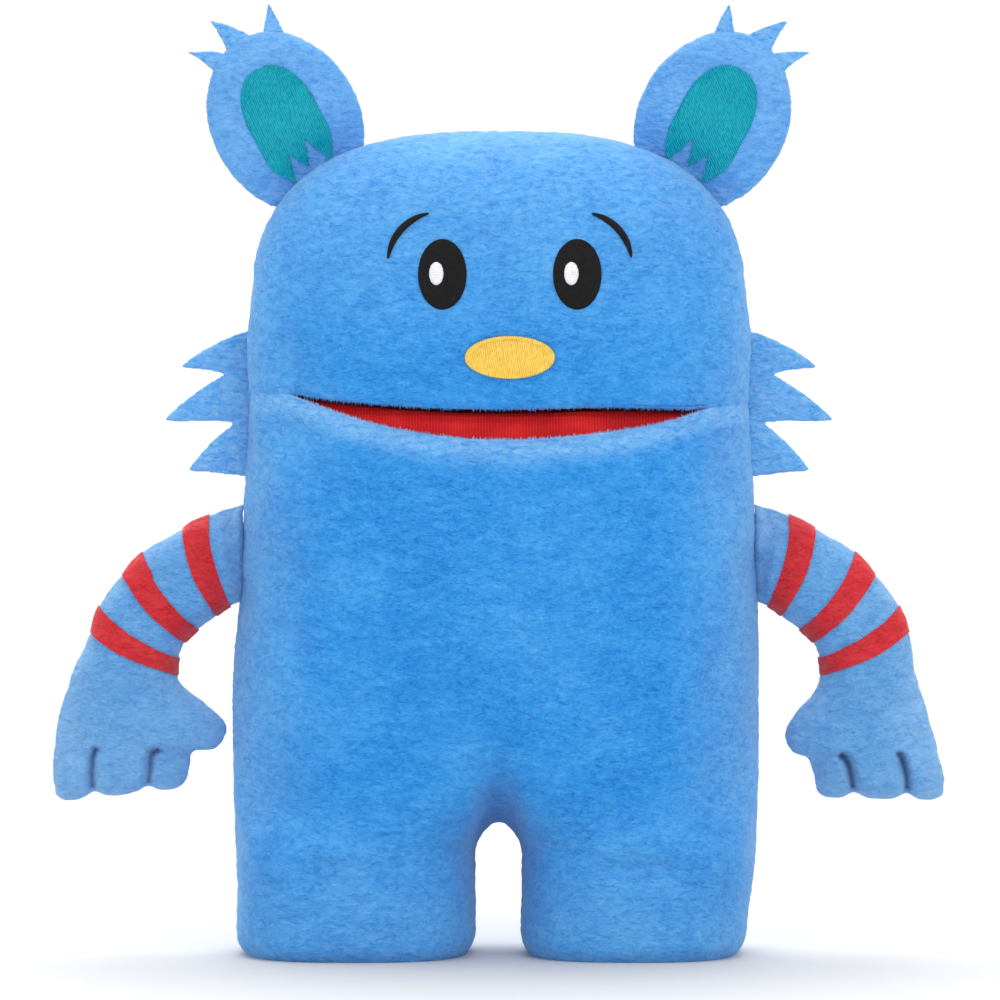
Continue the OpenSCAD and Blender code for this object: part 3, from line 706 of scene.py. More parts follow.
def front_place(u, v):
    x = leg_x(u, 0, HIP_HALF)
    low = crotch(x)
    for _ in range(3):
        above = (v - FRONT_SPLIT) / (1 - FRONT_SPLIT)
        z = np.where(v < FRONT_SPLIT, v / FRONT_SPLIT * low,
                     mix(low, lip(x, LOWER_SAG) + seam_overlap(x), above))
        x = leg_x(u, z, side_half(z))
    y = -torso_depth(x, z, FRONT_RISE) - SEAM
    return tuck_sole(x, y, z)


front = cut_with_holes("front_cover", COLS, FRONT_ROWS, front_place,
                       lambda u, v: in_gap(u) and v < FRONT_SPLIT)
puff(front, rim(front), pressure=4.0, slack=0.02, cap=3.0)


def finish_plush(obj, edge_gap=None, levels=2, height=0.35, thickness=PLUSH):
    apply_modifier(obj, "SUBSURF", levels=levels, render_levels=levels)
    if edge_gap is not None:
        co = points_of(obj)
        set_points(obj, roll_edge(co, edge_gap(co)))
    raise_pile(obj, height)
    if thickness:
        apply_modifier(obj, "SOLIDIFY", thickness=thickness * MM, offset=-1.0)
    shade(obj)
    print(obj.name, len(obj.data.polygons), "faces")
    return obj


def paint_lip_sheen(obj, edge_gap, reach, most):
    """Marks a band of painted sheen beside an edge: the plush material paints the pile paler there."""
    gap = edge_gap(points_of(obj))
    marks = obj.data.attributes.new("lip_sheen", "FLOAT", "POINT")
    marks.data.foreach_set("value", (most * smooth(1 - np.abs(gap) / reach)).astype(np.float32))


def below_lower_lip(co):
    return lip(co[:, 0], LOWER_SAG) - co[:, 2]


finish_plush(front, below_lower_lip)
# Painted sheen on the pile just below the lower lip.
paint_lip_sheen(front, below_lower_lip, 13, 1.5)
dress(front, body_plush)
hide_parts("torso_front_panel", "chin_panel")
sew(front, jaw_weight)

# %% [markdown]
# ## The back of the body and head
# The real back is one tall cut with a slot low down for the hand. Here it is one grid from the soles
# to the seam over the head. The faces inside the slot are deleted, and round the slot the cloth is
# tucked in to meet the binding.

# %% back cover
OPEN_HALF = corner("opening_binding", 1)[0] - 5
OPEN_LOW = corner("opening_binding", 0)[2] + 5
OPEN_HIGH = corner("opening_binding", 1)[2] - 5
BINDING_Y = corner("opening_binding", 1)[1]
BACK_ROWS = [9, 5, 11, 18, 20]
BACK_TOTAL = sum(BACK_ROWS)
BACK_ENDS = np.cumsum(BACK_ROWS) / BACK_TOTAL
print("hand opening", round(2 * OPEN_HALF), "x", round(OPEN_HIGH - OPEN_LOW), "mm")


def opening_distance(x, z):
    dx = np.maximum(np.abs(x) - OPEN_HALF, 0)
    dz = np.maximum(np.maximum(OPEN_LOW - z, z - OPEN_HIGH), 0)
    return np.hypot(dx, dz)


def back_place(u, v):
    u = 1 - u
    x = leg_x(u, 0, HIP_HALF)
    for _ in range(3):
        heights = [0 * x, crotch(x), OPEN_LOW + 0 * x, OPEN_HIGH + 0 * x, MOUTH_Z + 0 * x,
                   dome_top(x)]
        starts = [0, *BACK_ENDS]
        z = heights[-1]
        for k in range(len(BACK_ROWS) - 1, -1, -1):
            t = np.clip((v - starts[k]) / (starts[k + 1] - starts[k]), 0, 1)
            if k == len(BACK_ROWS) - 1:
                t = mix(t, np.sin(t * np.pi / 2), 0.6)
            z = np.where(v <= starts[k + 1] + 1e-6, mix(heights[k], heights[k + 1], t), z)
        x = leg_x(u, z, side_half(z))
    y = mix(torso_depth(x, z, BACK_RISE), head_depth(x, z), smooth((z - MOUTH_Z + 13) / 30))
    near = smooth(opening_distance(x, z) / 12)
    y = np.where((y > BINDING_Y) & (z > CROTCH_Z), mix(BINDING_Y + 0.4, y, near), y)
    return tuck_sole(x, y + SEAM, z)


def not_back(u, v):
    _, share, _ = column_x(1 - u)
    inside = in_gap(u) or mix(LEG_GAP_HALF, side_half(90.0), float(share)) < OPEN_HALF
    in_rows = BACK_ENDS[1] < v < BACK_ENDS[2]
    return (in_gap(u) and v < BACK_ENDS[0]) or (inside and in_rows)


back = cut_with_holes("back_cover", COLS, BACK_TOTAL, back_place, not_back)
puff(back, rim(back), pressure=4.0, slack=0.02, cap=3.0)
finish_plush(back)
dress(back, body_plush)
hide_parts("lower_back_panel", "upper_back_panel", "nape_panel", "head_back_panel")
sew(back, back_weight)

# %% [markdown]
# ## The face
# The face is its own cut, from the upper lip to the seam over the head.

# %% face cover
FACE_COLS, FACE_ROWS = 44, 26


def face_place(u, v):
    s = -np.cos(np.pi * u)
    x = s * HALF_W
    t = mix(v, np.sin(v * np.pi / 2), 0.6)
    z = mix(lip(x, UPPER_SAG) - seam_overlap(x), dome_top(x), t)
    return x, -head_depth(x, z) - SEAM, z


face = cut("face_cover", FACE_COLS, FACE_ROWS, face_place)
puff(face, rim(face), pressure=4.0, slack=0.02, cap=3.0)
finish_plush(face, lambda co: co[:, 2] - lip(co[:, 0], UPPER_SAG))
dress(face, body_plush)
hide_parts("face_panel")
sew(face, face_weight)

# %% [markdown]
# ## The soles
# Each foot ends in a flat piece of plush sewn round its edge. The grid's square is carried onto the
# leg's rounded section, and its rim turns up to meet the leg.


# %% soles
SOLE_INSET, SOLE_LIFT = 4.6, 0.45


def round_grid(u, v, power_x=2.0, power_z=2.0):
    """Carries a square grid onto a round one, |a|^power_x + |b|^power_z = 1, ring by ring.
    Returns its two places and the ring, which is 0 in the middle and 1 at the rim."""
    a, b = 2 * u - 1, 2 * v - 1
    ring = np.maximum(np.abs(a), np.abs(b))
    da, db = a / np.maximum(ring, 1e-9), b / np.maximum(ring, 1e-9)
    scale = np.ones_like(a)
    for _ in range(40):
        level = (np.abs(da) * scale) ** power_x + (np.abs(db) * scale) ** power_z
        scale = scale * np.maximum(level, 1e-9) ** -0.3
    return a * scale, b * scale, ring


def sole(name, side, node):
    half_x = (HIP_HALF - LEG_GAP_HALF) / 2 - 3.4
    middle = side * (HIP_HALF + LEG_GAP_HALF) / 2

    def place(u, v):
        a, b, ring = round_grid(1 - u, v, 3.0, 2.2)
        x, y = half_x * a, (BODY_HALF_D - SOLE_INSET) * b
        return lopsided(middle + x, 0 * x), y, SOLE_LIFT + 1.6 * smooth((ring - 0.8) / 0.2) ** 2

    obj = cut(name, 26, 26, place)
    finish_plush(obj, levels=1, height=0.15, thickness=2.2)
    dress(obj, body_plush)
    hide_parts(node)
    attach(obj, "torso")
    return obj


sole("left_sole", 1, "left_foot_sole")
sole("right_sole", -1, "right_foot_sole")

# %% [markdown]
# ## The mouth
# The mouth is a bag of ribbed red knit: a palate and a tongue, both D-shaped, sewn along the lips and
# meeting at the throat. Each is a grid whose front edge follows its lip, and the ribs are modelled as
# small waves across it. A flexible board lies behind each.

# %% linings and boards
THROAT_Y = corner("palate_lining", 1)[1]
RIB_PITCH, RIB_HEIGHT = 1.7, 0.22
PALATE_THROAT, TONGUE_THROAT, LOWER_BOARD_THROAT = 205.9, 205.4, 204.3


def mouth_place(u, v, inset, sag, throat_z, lift, swell=0.0):
    s = 2 * u - 1
    s = np.sign(s) * (1 - (1 - np.abs(s)) ** 1.25)
    half = MOUTH_HALF - inset
    x = s * half
    front_y = -torso_depth(x, LIP_LEVEL + 0 * x, FRONT_RISE) + 1.6 + inset
    edge = np.array([half]), np.array([LIP_LEVEL])
    corner_y = -torso_depth(*edge, FRONT_RISE)[0] + 1.6 + inset
    back_y = corner_y + (THROAT_Y - inset - corner_y) * np.maximum(0, 1 - np.abs(s) ** 3) ** (1 / 3)
    y = mix(front_y, np.maximum(back_y, front_y), v)
    z = mix(lip(x, sag), throat_z, smooth(v) * 0.5 + v * 0.5) + lift
    room = np.maximum(0, lip(x, UPPER_SAG) - 1.0 - z)
    z = z + swell * room * smooth((y - front_y) / 7) * smooth((THROAT_Y - 4 - y) / 16)
    return x, y, z


def lining(name, node, sag, throat_z, lift, up, swell=0.0):
    obj = cut(name, 84, 150, lambda u, v: mouth_place(u, v, 0.0, sag, throat_z, lift, swell))
    co = points_of(obj)
    wave = np.sin(2 * np.pi * co[:, 1] / RIB_PITCH)
    sway = np.array([noise.noise(Vector((x / 16, y / 16, 3.0 * up))) for x, y, _ in co])
    co[:, 2] += RIB_HEIGHT * wave + 0.5 * sway
    set_points(obj, co)
    apply_modifier(obj, "SOLIDIFY", thickness=1.0 * MM, offset=-float(up))
    shade(obj)
    dress(obj, red_knit)
    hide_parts(node)
    return obj


def board(name, node, sag, throat_z, lift, up):
    obj = cut(name, 60, 30, lambda u, v: mouth_place(u, v, 4.0, sag, throat_z, lift))
    apply_modifier(obj, "SOLIDIFY", thickness=1.8 * MM, offset=-float(up))
    apply_modifier(obj, "BEVEL", width=0.35 * MM, segments=2, limit_method="ANGLE")
    shade(obj, 40)
    dress(obj, jaw_board)
    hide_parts(node)
    return obj


palate = lining("palate", "palate_lining", UPPER_SAG, PALATE_THROAT, 0.3, -1)
tongue = lining("tongue", "tongue_lining", LOWER_SAG, TONGUE_THROAT, -0.3, 1,
                swell=0.9)
upper_board = board("palate_board", "upper_jaw_board", UPPER_SAG, PALATE_THROAT, 1.8, -1)
lower_board = board("tongue_board", "lower_jaw_board", LOWER_SAG, LOWER_BOARD_THROAT, -1.8, 1)
sew(upper_board, face_weight)
sew(lower_board, jaw_weight)


def before_throat(y):
    """1 in the mouth, 0 at the throat, where the two linings are sewn together and stay put."""
    return smooth((THROAT_Y - 1 - y) / 15)


sew(palate, lambda x, y, z: face_weight(x, y, z) * before_throat(y))
sew(tongue, lambda x, y, z: jaw_weight(x, y, z) * before_throat(y))

# %% [markdown]
# ## The arms
# Each arm is a stuffed tube with a mitten hand. Its flat pattern is drawn as pairs of points across
# the arm, from the root in the side seam to the finger tips, as a maker would mark them on paper. A
# grid is wrapped into a tube over that pattern: u runs round the arm and v along it. The tube is
# puffed with its seams pinned, and the lines between the fingers are pressed in last.

# Pairs of points across the arm, outer edge and inner edge, from its root to the finger tips.
# The bands lie between pairs 1 and 2, 3 and 4, and 5 and 6. The thumb is on the inner edge.
ARM_PAIRS = [((94.0, 167.5), (95.0, 131.0)), ((107.3, 162.7), (99.8, 129.1)),
             ((117.5, 158.1), (104.8, 125.5)), ((131.8, 148.9), (111.6, 120.4)),
             ((139.5, 141.0), (116.7, 115.5)), ((148.0, 129.1), (119.0, 110.0)),
             ((151.9, 119.7), (119.4, 103.5))]
HAND_PAIRS = {
    "left": [((155.0, 104.5), (117.0, 97.0)), ((158.3, 93.0), (110.2, 88.8)),
             ((161.0, 84.0), (106.6, 81.6)), ((162.8, 77.5), (109.0, 75.2)),
             ((163.8, 73.0), (114.6, 72.6)), ((165.6, 66.0), (116.6, 67.5)),
             ((165.6, 58.6), (118.2, 59.8))],
    "right": [((158.2, 105.0), (117.5, 99.5)), ((161.8, 93.5), (108.0, 92.0)),
              ((163.8, 86.0), (101.3, 84.3)), ((164.8, 79.5), (105.2, 76.6)),
              ((165.4, 74.5), (113.6, 75.0)), ((166.0, 66.0), (115.0, 69.6)),
              ((165.0, 58.0), (116.4, 63.4))],
}
LAST = len(ARM_PAIRS) + len(HAND_PAIRS["left"]) - 1
FINGER_AT = 0.42
GROOVE_DEPTH = {"left": 0.8, "right": 0.62}


def spline(r, points):
    """A smooth curve through points, r counting them from 0."""
    pts = np.array(points)
    pts = np.vstack([2 * pts[0] - pts[1], pts, 2 * pts[-1] - pts[-2]])
    k = np.clip(np.floor(r).astype(int), 0, len(points) - 2)
    t = (r - k)[:, None]
    a, b, c, d = pts[k], pts[k + 1], pts[k + 2], pts[k + 3]
    return 0.5 * (2 * b + (c - a) * t + (2 * a - 5 * b + 4 * c - d) * t**2
                  + (3 * b - a - 3 * c + d) * t**3)


def finger_wave(s):
    """1 along the middle of each of the three fingers and 0 between them."""
    return np.abs(np.sin(np.pi * np.interp(s, [-1, -FINGER_AT, FINGER_AT, 1], [0, 1, 2, 3])))


def arm_spot(word, s, r):
    """A place on the arm's flat pattern: s runs across it, -1 to 1, and r along it."""
    pairs = ARM_PAIRS + HAND_PAIRS[word]
    outer, inner = spline(r, [p[0] for p in pairs]), spline(r, [p[1] for p in pairs])
    at = inner + (outer - inner) * ((s + 1) / 2)[:, None]
    tip = np.clip(r - LAST + 1, 0, 1)
    drop = 3.2 * tip * (1 - (1 - finger_wave(s)) ** 2) - 0.8 * tip
    return at[:, 0], at[:, 1] - drop


def arm_place(word, side, u, r):
    a = 2 * np.pi * u
    s = np.cos(a)
    x, z = arm_spot(word, s, r)
    half = np.interp(r, [0, 0.8, 2, 4, 6, 8, LAST], [2.5, 9.5, 13.3, 13.5, 12.3, 10.5, 9.6])
    edge = np.maximum(0, 1 - np.abs(s) ** 2.5) ** 0.5
    tip = np.sqrt(1 - (1 - np.clip((LAST - r) / 0.95, 0, 1)) ** 2)
    root = np.where(r < 0.01, 0.0, 1.0)
    y = half * edge * tip * root * (np.abs(np.sin(a)) > 1e-6)
    return side * x, np.where(np.sin(a) > 0, -y, y), z


def press_fingers(obj, word, side):
    """Presses the stitched lines between the fingers into both faces of the hand."""
    co = points_of(obj)
    for s in (-FINGER_AT, FINGER_AT):
        r = np.linspace(LAST - 2.3, LAST - 0.35, 40)
        x, z = arm_spot(word, np.full(40, s), r)
        gap = np.hypot(co[:, 0, None] * side - x[None], co[:, 2, None] - z[None]).min(axis=1)
        co[:, 1] *= 1 - GROOVE_DEPTH[word] * np.exp(-((gap / 1.4) ** 2))
    set_points(obj, co)


# %% arm covers
SIDES = [("left", 1), ("right", -1)]
ARM_ROUND, ARM_ROWS = 44, 78


def make_arm(name, side, word):
    obj = cut(name, ARM_ROUND, ARM_ROWS, lambda u, v: arm_place(word, side, u, v * LAST))
    weld(obj, 0.02)
    sewn = np.where(np.abs(points_of(obj)[:, 1]) < 0.3)[0]
    puff(obj, sewn, pressure=5.0, slack=0.03, cap=2.0)
    apply_modifier(obj, "SUBSURF", levels=2, render_levels=2)
    press_fingers(obj, word, side)
    raise_pile(obj, 0.22)
    shade(obj)
    dress(obj, arm_plush)
    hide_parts(f"{word}_arm_front", f"{word}_arm_back", f"{word}_arm_stuffing",
                f"{word}_shoulder_strip")
    print(name, len(obj.data.polygons), "faces")
    return obj


arms = {word: make_arm(f"{word}_arm_cover", side, word) for word, side in SIDES}

# %% [markdown]
# ## The red bands
# Three bands of red plush go round each arm. Each is a short tube of grid with the arm's own shape,
# wrapped onto the finished arm with Shrinkwrap so that it lies snug on the puffed cloth, and then
# given its thickness.

# %% bands
BAND_ENDS = [(1, 2), (3, 4), (5, 6)]
BAND_BOW = 0.22


def make_bands(word, side):
    rings = []
    for k, (first, last) in enumerate(BAND_ENDS):
        def place(u, v, first=first, last=last):
            bow = BAND_BOW * (1 - np.cos(2 * np.pi * u) ** 2)
            x, y, z = arm_place(word, side, u, mix(first, last, v) + bow)
            return x, y * 1.1, z
        ring = cut(f"{word}_band_{k}", 96, 12, place)
        weld(ring)
        apply_modifier(ring, "SHRINKWRAP", target=arms[word], wrap_method="NEAREST_SURFACEPOINT",
                       wrap_mode="ABOVE_SURFACE", offset=0.12 * MM)
        apply_modifier(ring, "SMOOTH", iterations=2, factor=0.5)
        apply_modifier(ring, "SUBSURF", levels=1, render_levels=1)
        apply_modifier(ring, "SOLIDIFY", thickness=0.5 * MM, offset=1.0)
        raise_pile(ring, 0.08)
        rings.append(ring)
    bands = join(rings, f"{word}_red_bands")
    shade(bands)
    dress(bands, band_plush)
    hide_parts(f"{word}_arm_bands")
    return bands


bands = {word: make_bands(word, side) for word, side in SIDES}

# %% [markdown]
# On the puppet the arm's root stays with the shoulder, which swings, and the rest follows the arm,
# which also rises. Here the arms and their bands only have their transforms baked into their points.

# %% arms' transforms baked
for word, side in SIDES:
    for piece in (arms[word], bands[word]):
        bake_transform(piece)

# %% [markdown]
# ## The ears
# An ear is a front cut and a back cut sewn round their rim and stuffed, so it is made as a pillow:
# two grids over the same round outline, one bulging to each side, welded along the rim. Its foot
# follows the outline of the head, because it is sewn there.


# %% two cuts sewn round their rim
def pillow(name, cols, rows, place):
    """place(u, v) gives x, half thickness and z. The back is the front turned over."""
    def front_side(u, v):
        x, half, z = place(u, v)
        return x, -half, z

    def back_side(u, v):
        x, half, z = place(1 - u, v)
        return x, half, z

    obj = join([cut(name, cols, rows, front_side), cut(name + "_back", cols, rows, back_side)], name)
    weld(obj, 0.12)
    return obj


# %% ear shape
EAR_CENTRE = (79.0, HEAD_TOP + 3.5)
EAR_HALF, EAR_RISE, EAR_THICK = 28.0, 35.5, 8.0
LEAN = math.radians(28)
BODY_GAP = 0.4


def ear_xz(p, q):
    return (EAR_CENTRE[0] + p * math.cos(LEAN) + q * math.sin(LEAN),
            EAR_CENTRE[1] - p * math.sin(LEAN) + q * math.cos(LEAN))


def head_q(p):
    """Where a line of constant p meets the head's outline, found by halving."""
    low, high = np.full_like(p, -60.0), np.full_like(p, 30.0)
    for _ in range(24):
        mid = (low + high) / 2
        x, z = ear_xz(p, mid)
        level = dome_level(x, z)
        low, high = np.where(level > 1, low, mid), np.where(level > 1, mid, high)
    return (low + high) / 2


def ear_thickness(p, q):
    r = np.sqrt((p / EAR_HALF) ** 2 + (q / EAR_RISE) ** 2)
    up = np.maximum(0, q - head_q(p) + EAR_ROOT)
    rise = np.sin(np.pi / 2 * np.minimum(1, up / 24))
    return EAR_THICK * np.sqrt(np.maximum(0, 1 - r**2.6)) * rise


def ear_spot(u, v):
    a, b, _ = round_grid(u, v)
    p, q = a * EAR_HALF, b * EAR_RISE
    edge = EAR_RISE * np.sqrt(np.maximum(0, 1 - (p / EAR_HALF) ** 2))
    foot = np.maximum(-edge, head_q(p) - EAR_ROOT)
    share = np.where(edge > 0.01, (q + edge) / np.maximum(2 * edge, 0.01), 0.5)
    return p, mix(foot, edge, np.clip(share, 0, 1))


PATCH_HALF, PATCH_RISE = 13.2, 22.0
EAR_ROOT = 2.5      # how far the foot goes into the head's seam


def make_ear(name, side, word):
    def place(u, v):
        u = u if side > 0 else 1 - u
        p, q = ear_spot(u, v)
        x, z = ear_xz(p, q)
        return side * x, ear_thickness(p, q), z

    obj = pillow(name, 30, 30, place)
    sewn = np.where(np.abs(points_of(obj)[:, 1]) < 0.15)[0]
    puff(obj, sewn, pressure=5.0, slack=0.03, cap=2.5)
    apply_modifier(obj, "SUBSURF", levels=2, render_levels=2)
    co = points_of(obj)
    x, z = co[:, 0] * side - EAR_CENTRE[0], co[:, 2] - EAR_CENTRE[1]
    p, q = x * math.cos(LEAN) - z * math.sin(LEAN), x * math.sin(LEAN) + z * math.cos(LEAN)
    r = np.sqrt((p / PATCH_HALF) ** 2 + (q / PATCH_RISE) ** 2)
    dip = 2.0 * smooth((1.15 - r) / 0.3)
    co[:, 1] = np.where(co[:, 1] < 0, np.minimum(co[:, 1] + dip, -0.2), co[:, 1])
    set_points(obj, co)
    raise_pile(obj, 0.3)
    shade(obj)
    dress(obj, ear_plush)
    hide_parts(f"{word}_ear_front", f"{word}_ear_back", f"{word}_ear_wadding")
    bend_ear(obj)
    print(name, len(obj.data.polygons), "faces")
    return obj


def bend_ear(obj):
    """Bakes a piece's transform into its points. On the puppet the ear's foot stays in the head's seam
    and the ear folds over the next few millimetres.
    """
    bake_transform(obj)


ears = {word: make_ear(f"{word}_ear_cover", side, word) for word, side in SIDES}

# %% [markdown]
# Three pointed tufts of longer plush stand in the seam on the ear's outer shoulder. Each is a small
# pillow that narrows to a point.

# %% ear tufts
# Where each tuft grows on the rim in degrees, its share of the length, its half width and its bend.
TUFTS = [(110, 1.0, 4.0, -0.3), (87, 1.12, 5.4, -4.6), (70, 1.0, 4.2, -5.0)]
TUFT_LENGTH = 9.6


def make_tufts(word, side):
    parts = []
    for angle, share, half_width, bend in TUFTS:
        a = math.radians(angle)
        reach = EAR_HALF * EAR_RISE / math.hypot(EAR_RISE * math.cos(a), EAR_HALF * math.sin(a))
        out = math.radians(angle) - LEAN

        def place(u, v, share=share, half_width=half_width, bend=bend, reach=reach, out=out):
            u = u if side > 0 else 1 - u
            long = TUFT_LENGTH * share
            width = half_width * (1 - v**1.25) + 0.2
            s = 2 * u - 1
            along = reach - 2.2 + (long + 2.2) * v
            across = -s * width + bend * v**1.6
            x = EAR_CENTRE[0] + along * math.cos(out) - across * math.sin(out)
            z = EAR_CENTRE[1] + along * math.sin(out) + across * math.cos(out)
            half = 1.3 * np.sqrt(np.maximum(0, 1 - np.abs(s) ** 2.5)) * (1 - 0.75 * v)
            return side * x, half, z

        part = pillow(f"{word}_tuft_{angle}", 10, 12, place)
        apply_modifier(part, "SUBSURF", levels=2, render_levels=2)
        parts.append(part)
    obj = join(parts, f"{word}_ear_tuft_set")
    raise_pile(obj, 0.25, 2.0, 5.0)
    shade(obj)
    dress(obj, body_plush)
    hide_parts(f"{word}_ear_tufts")
    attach(obj, f"{word}_ear")
    return obj


tufts = {word: make_tufts(word, side) for word, side in SIDES}
print("tufts:", len(TUFTS), "on each ear")

# %% [markdown]
# ## Embroidery
# The eyes, their highlights, the nose, the brows and the ear patches are satin stitch on the plush.
# Each is a fine grid in its own outline, laid on the cloth behind it with Shrinkwrap, straight along
# Y, lifted by the height of the stitches, and given a thickness that reaches down into the pile.


# %% laying stitches on a cloth
def lay_on(obj, target, lift, thick=1.3, smoothing=6):
    """lift is the height of the stitches in millimetres, one number or one for each point."""
    apply_modifier(obj, "SHRINKWRAP", target=target, wrap_method="PROJECT", use_project_y=True,
                   use_positive_direction=True, use_negative_direction=False)
    apply_modifier(obj, "SMOOTH", iterations=smoothing, factor=0.5)
    co = points_of(obj)
    co[:, 1] -= lift
    set_points(obj, co)
    apply_modifier(obj, "SOLIDIFY", thickness=thick * MM, offset=-1.0)
    shade(obj)
    return obj


def oval_patch(name, node, target, centre, half, rise, material, profile, n=40):
    """An oval of stitches. profile(ring) gives its height from the middle, 0, to the rim, 1."""
    rings = {}

    def place(u, v):
        a, b, ring = round_grid(u, v)
        rings["at"] = ring
        return centre[0] + half * a, 0 * a - 80, centre[1] + rise * b

    obj = cut(name, n, n, place)
    lay_on(obj, target, profile(rings["at"]))
    dress(obj, material)
    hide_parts(node)
    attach(obj, "head")
    print(name, round(2 * half, 1), "x", round(2 * rise, 1), "mm")
    return obj


def domed(height, edge=0.12):
    """A full patch of stitches that drops at its rim."""
    def profile(ring):
        drop = np.clip((ring - 1 + edge) / edge, 0, 1) ** 2
        return height * np.sqrt(np.maximum(0, 1 - drop)) + 0.5 * (1 - ring**2)
    return profile


def bordered(height, border, width):
    """A raised satin border round a lower, stitched field."""
    return lambda ring: height + border * np.sqrt(np.maximum(0, 1 - ((ring - 1 + width) / width) ** 2))


# %% eyes and nose
FACE_X, EYE_Z, NOSE_Z = 4.0, MOUTH_Z + 45.2, MOUTH_Z + 14.8
EYE_HALF_GAP = 24.7
for word, side in SIDES:
    eye_x = FACE_X + side * EYE_HALF_GAP
    oval_patch(f"{word}_eye", f"{word}_eye_patch", face, (eye_x, EYE_Z), 9.1, 13.2, black_thread,
               domed(0.9), 44)
    oval_patch(f"{word}_eye_light", f"{word}_eye_highlight", face, (eye_x - 2.2, EYE_Z + 0.3), 2.9, 4.6,
               white_thread, domed(1.9, 0.3), 24)
oval_patch("nose", "nose_patch", face, (FACE_X, NOSE_Z), 16.7, 8.0, yellow_thread,
           bordered(0.7, 0.9, 0.11), 64)

# %% brows
BROW_R, BROW_HALF = 19.0, 1.2
BROW_OUT, BROW_UP = 1.0, 3.7


def make_brow(word, side):
    centre = (FACE_X + side * (EYE_HALF_GAP + BROW_OUT), EYE_Z + BROW_UP)
    ends = np.radians((77, 7) if side > 0 else (174, 102))
    heights = {}

    def place(u, v):
        a = mix(ends[0], ends[1], u)
        half = BROW_HALF * np.sin(np.pi * u) ** 0.6 + 0.15
        r = BROW_R + (2 * v - 1) * half
        across = np.sqrt(np.maximum(0, 1 - (2 * v - 1) ** 2))
        heights["at"] = 0.5 + 0.7 * across * np.sin(np.pi * u) ** 0.4
        return centre[0] + r * np.cos(a), 0 * a - 80, centre[1] + r * np.sin(a)

    obj = cut(f"{word}_brow_stitch", 60, 8, place)
    lay_on(obj, face, heights["at"], thick=1.1, smoothing=2)
    dress(obj, black_thread)
    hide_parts(f"{word}_brow")
    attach(obj, "head")
    return obj


brows = [make_brow(word, side) for word, side in SIDES]
print("brows:", len(brows))


# %% ear patches
# The lower edge is cut in three points: places across the patch and how low the edge is there.
POINTS_AT = [-13.2, -11.6, -8.1, -3.3, 0.0, 4.7, 7.1, 13.2]
POINTS_LOW = [-9.0, -15.0, -21.2, -8.4, -19.0, -11.0, -22.5, -13.5]


def make_patch(word, side):
    def place(u, v):
        u = u if side > 0 else 1 - u
        p = PATCH_HALF * 0.985 * (2 * u - 1)
        top = PATCH_RISE * np.maximum(0, 1 - np.abs(p / PATCH_HALF) ** 2.3) ** (1 / 2.3)
        low = np.maximum(np.interp(p, POINTS_AT, POINTS_LOW), head_q(p) + 0.6)
        low = np.minimum(low, top - 1.0)
        x, z = ear_xz(p, mix(low, top, v))
        return side * x, 0 * x - 80, z

    obj = cut(f"{word}_ear_inside", 96, 70, place)
    lay_on(obj, ears[word], 0.75, thick=1.2, smoothing=1)
    dress(obj, teal_thread)
    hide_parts(f"{word}_ear_patch")
    bend_ear(obj)
    return obj


patches = [make_patch(word, side) for word, side in SIDES]
print("ear patches:", len(patches))

# %% [markdown]
# ## The cheek fringe
# A flap of doubled plush with three points stands in the side seam at each cheek. Each point is a
# pillow with a convex upper edge and a nearly level lower one. The three are joined and remeshed so
# that they grow into one flap.

# %% cheek fringe
FRINGE_X, FRINGE_Z = side_half(MOUTH_Z - 31) + BODY_GAP, MOUTH_Z - 31
FRINGE_POINTS = [(21.0, 2.0, 0.2, 23.5), (30.2, 20.6, 20.6, 42.5), (24.0, 40.4, 36.6, 55.0)]
FRINGE_HALF_T = 1.5


def make_fringe(word, side):
    parts = []
    for k, (reach, tip_z, low_z, high_z) in enumerate(FRINGE_POINTS):
        def place(u, v, reach=reach, tip_z=tip_z, low_z=low_z, high_z=high_z):
            u = u if side > 0 else 1 - u
            lower = mix(low_z, tip_z, smooth(u * 1.3) * 0.7 + u * 0.3)
            blunt = np.sqrt(np.maximum(0, 1 - u**8))
            upper = tip_z + 1.2 * blunt + (high_z - tip_z - 1.2) * (1 - u**1.45)
            lower = lower - 1.0 * blunt + 1.0
            half = FRINGE_HALF_T * np.sqrt(np.maximum(0, 1 - np.abs(2 * v - 1) ** 3.5))
            half = half * blunt * (u > 0.005)
            z = FRINGE_Z + mix(lower, upper, v)
            return side * mix(side_half(z) - 1.5, FRINGE_X + reach, u), half, z
        parts.append(pillow(f"{word}_fringe_{k}", 26, 16, place))
    obj = join(parts, f"{word}_cheek_points")
    apply_modifier(obj, "REMESH", mode="VOXEL", voxel_size=0.65 * MM)
    apply_modifier(obj, "SMOOTH", iterations=5, factor=0.5)
    raise_pile(obj, 0.22, 2.4, 7.0)
    shade(obj)
    dress(obj, body_plush)
    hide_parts(f"{word}_cheek_fringe")
    sew(obj, back_weight)
    print(obj.name, len(obj.data.polygons), "faces")
    return obj


for word, side in SIDES:
    make_fringe(word, side)

# %% [markdown]
# ## Inside the puppet
# The hand goes in through a hemmed opening, up a sleeve of lining cloth, and into a finger pocket
# above the palate and a thumb pocket below the tongue. Loose filling rounds out the belly, the legs
# and the head in front of and above the hand.


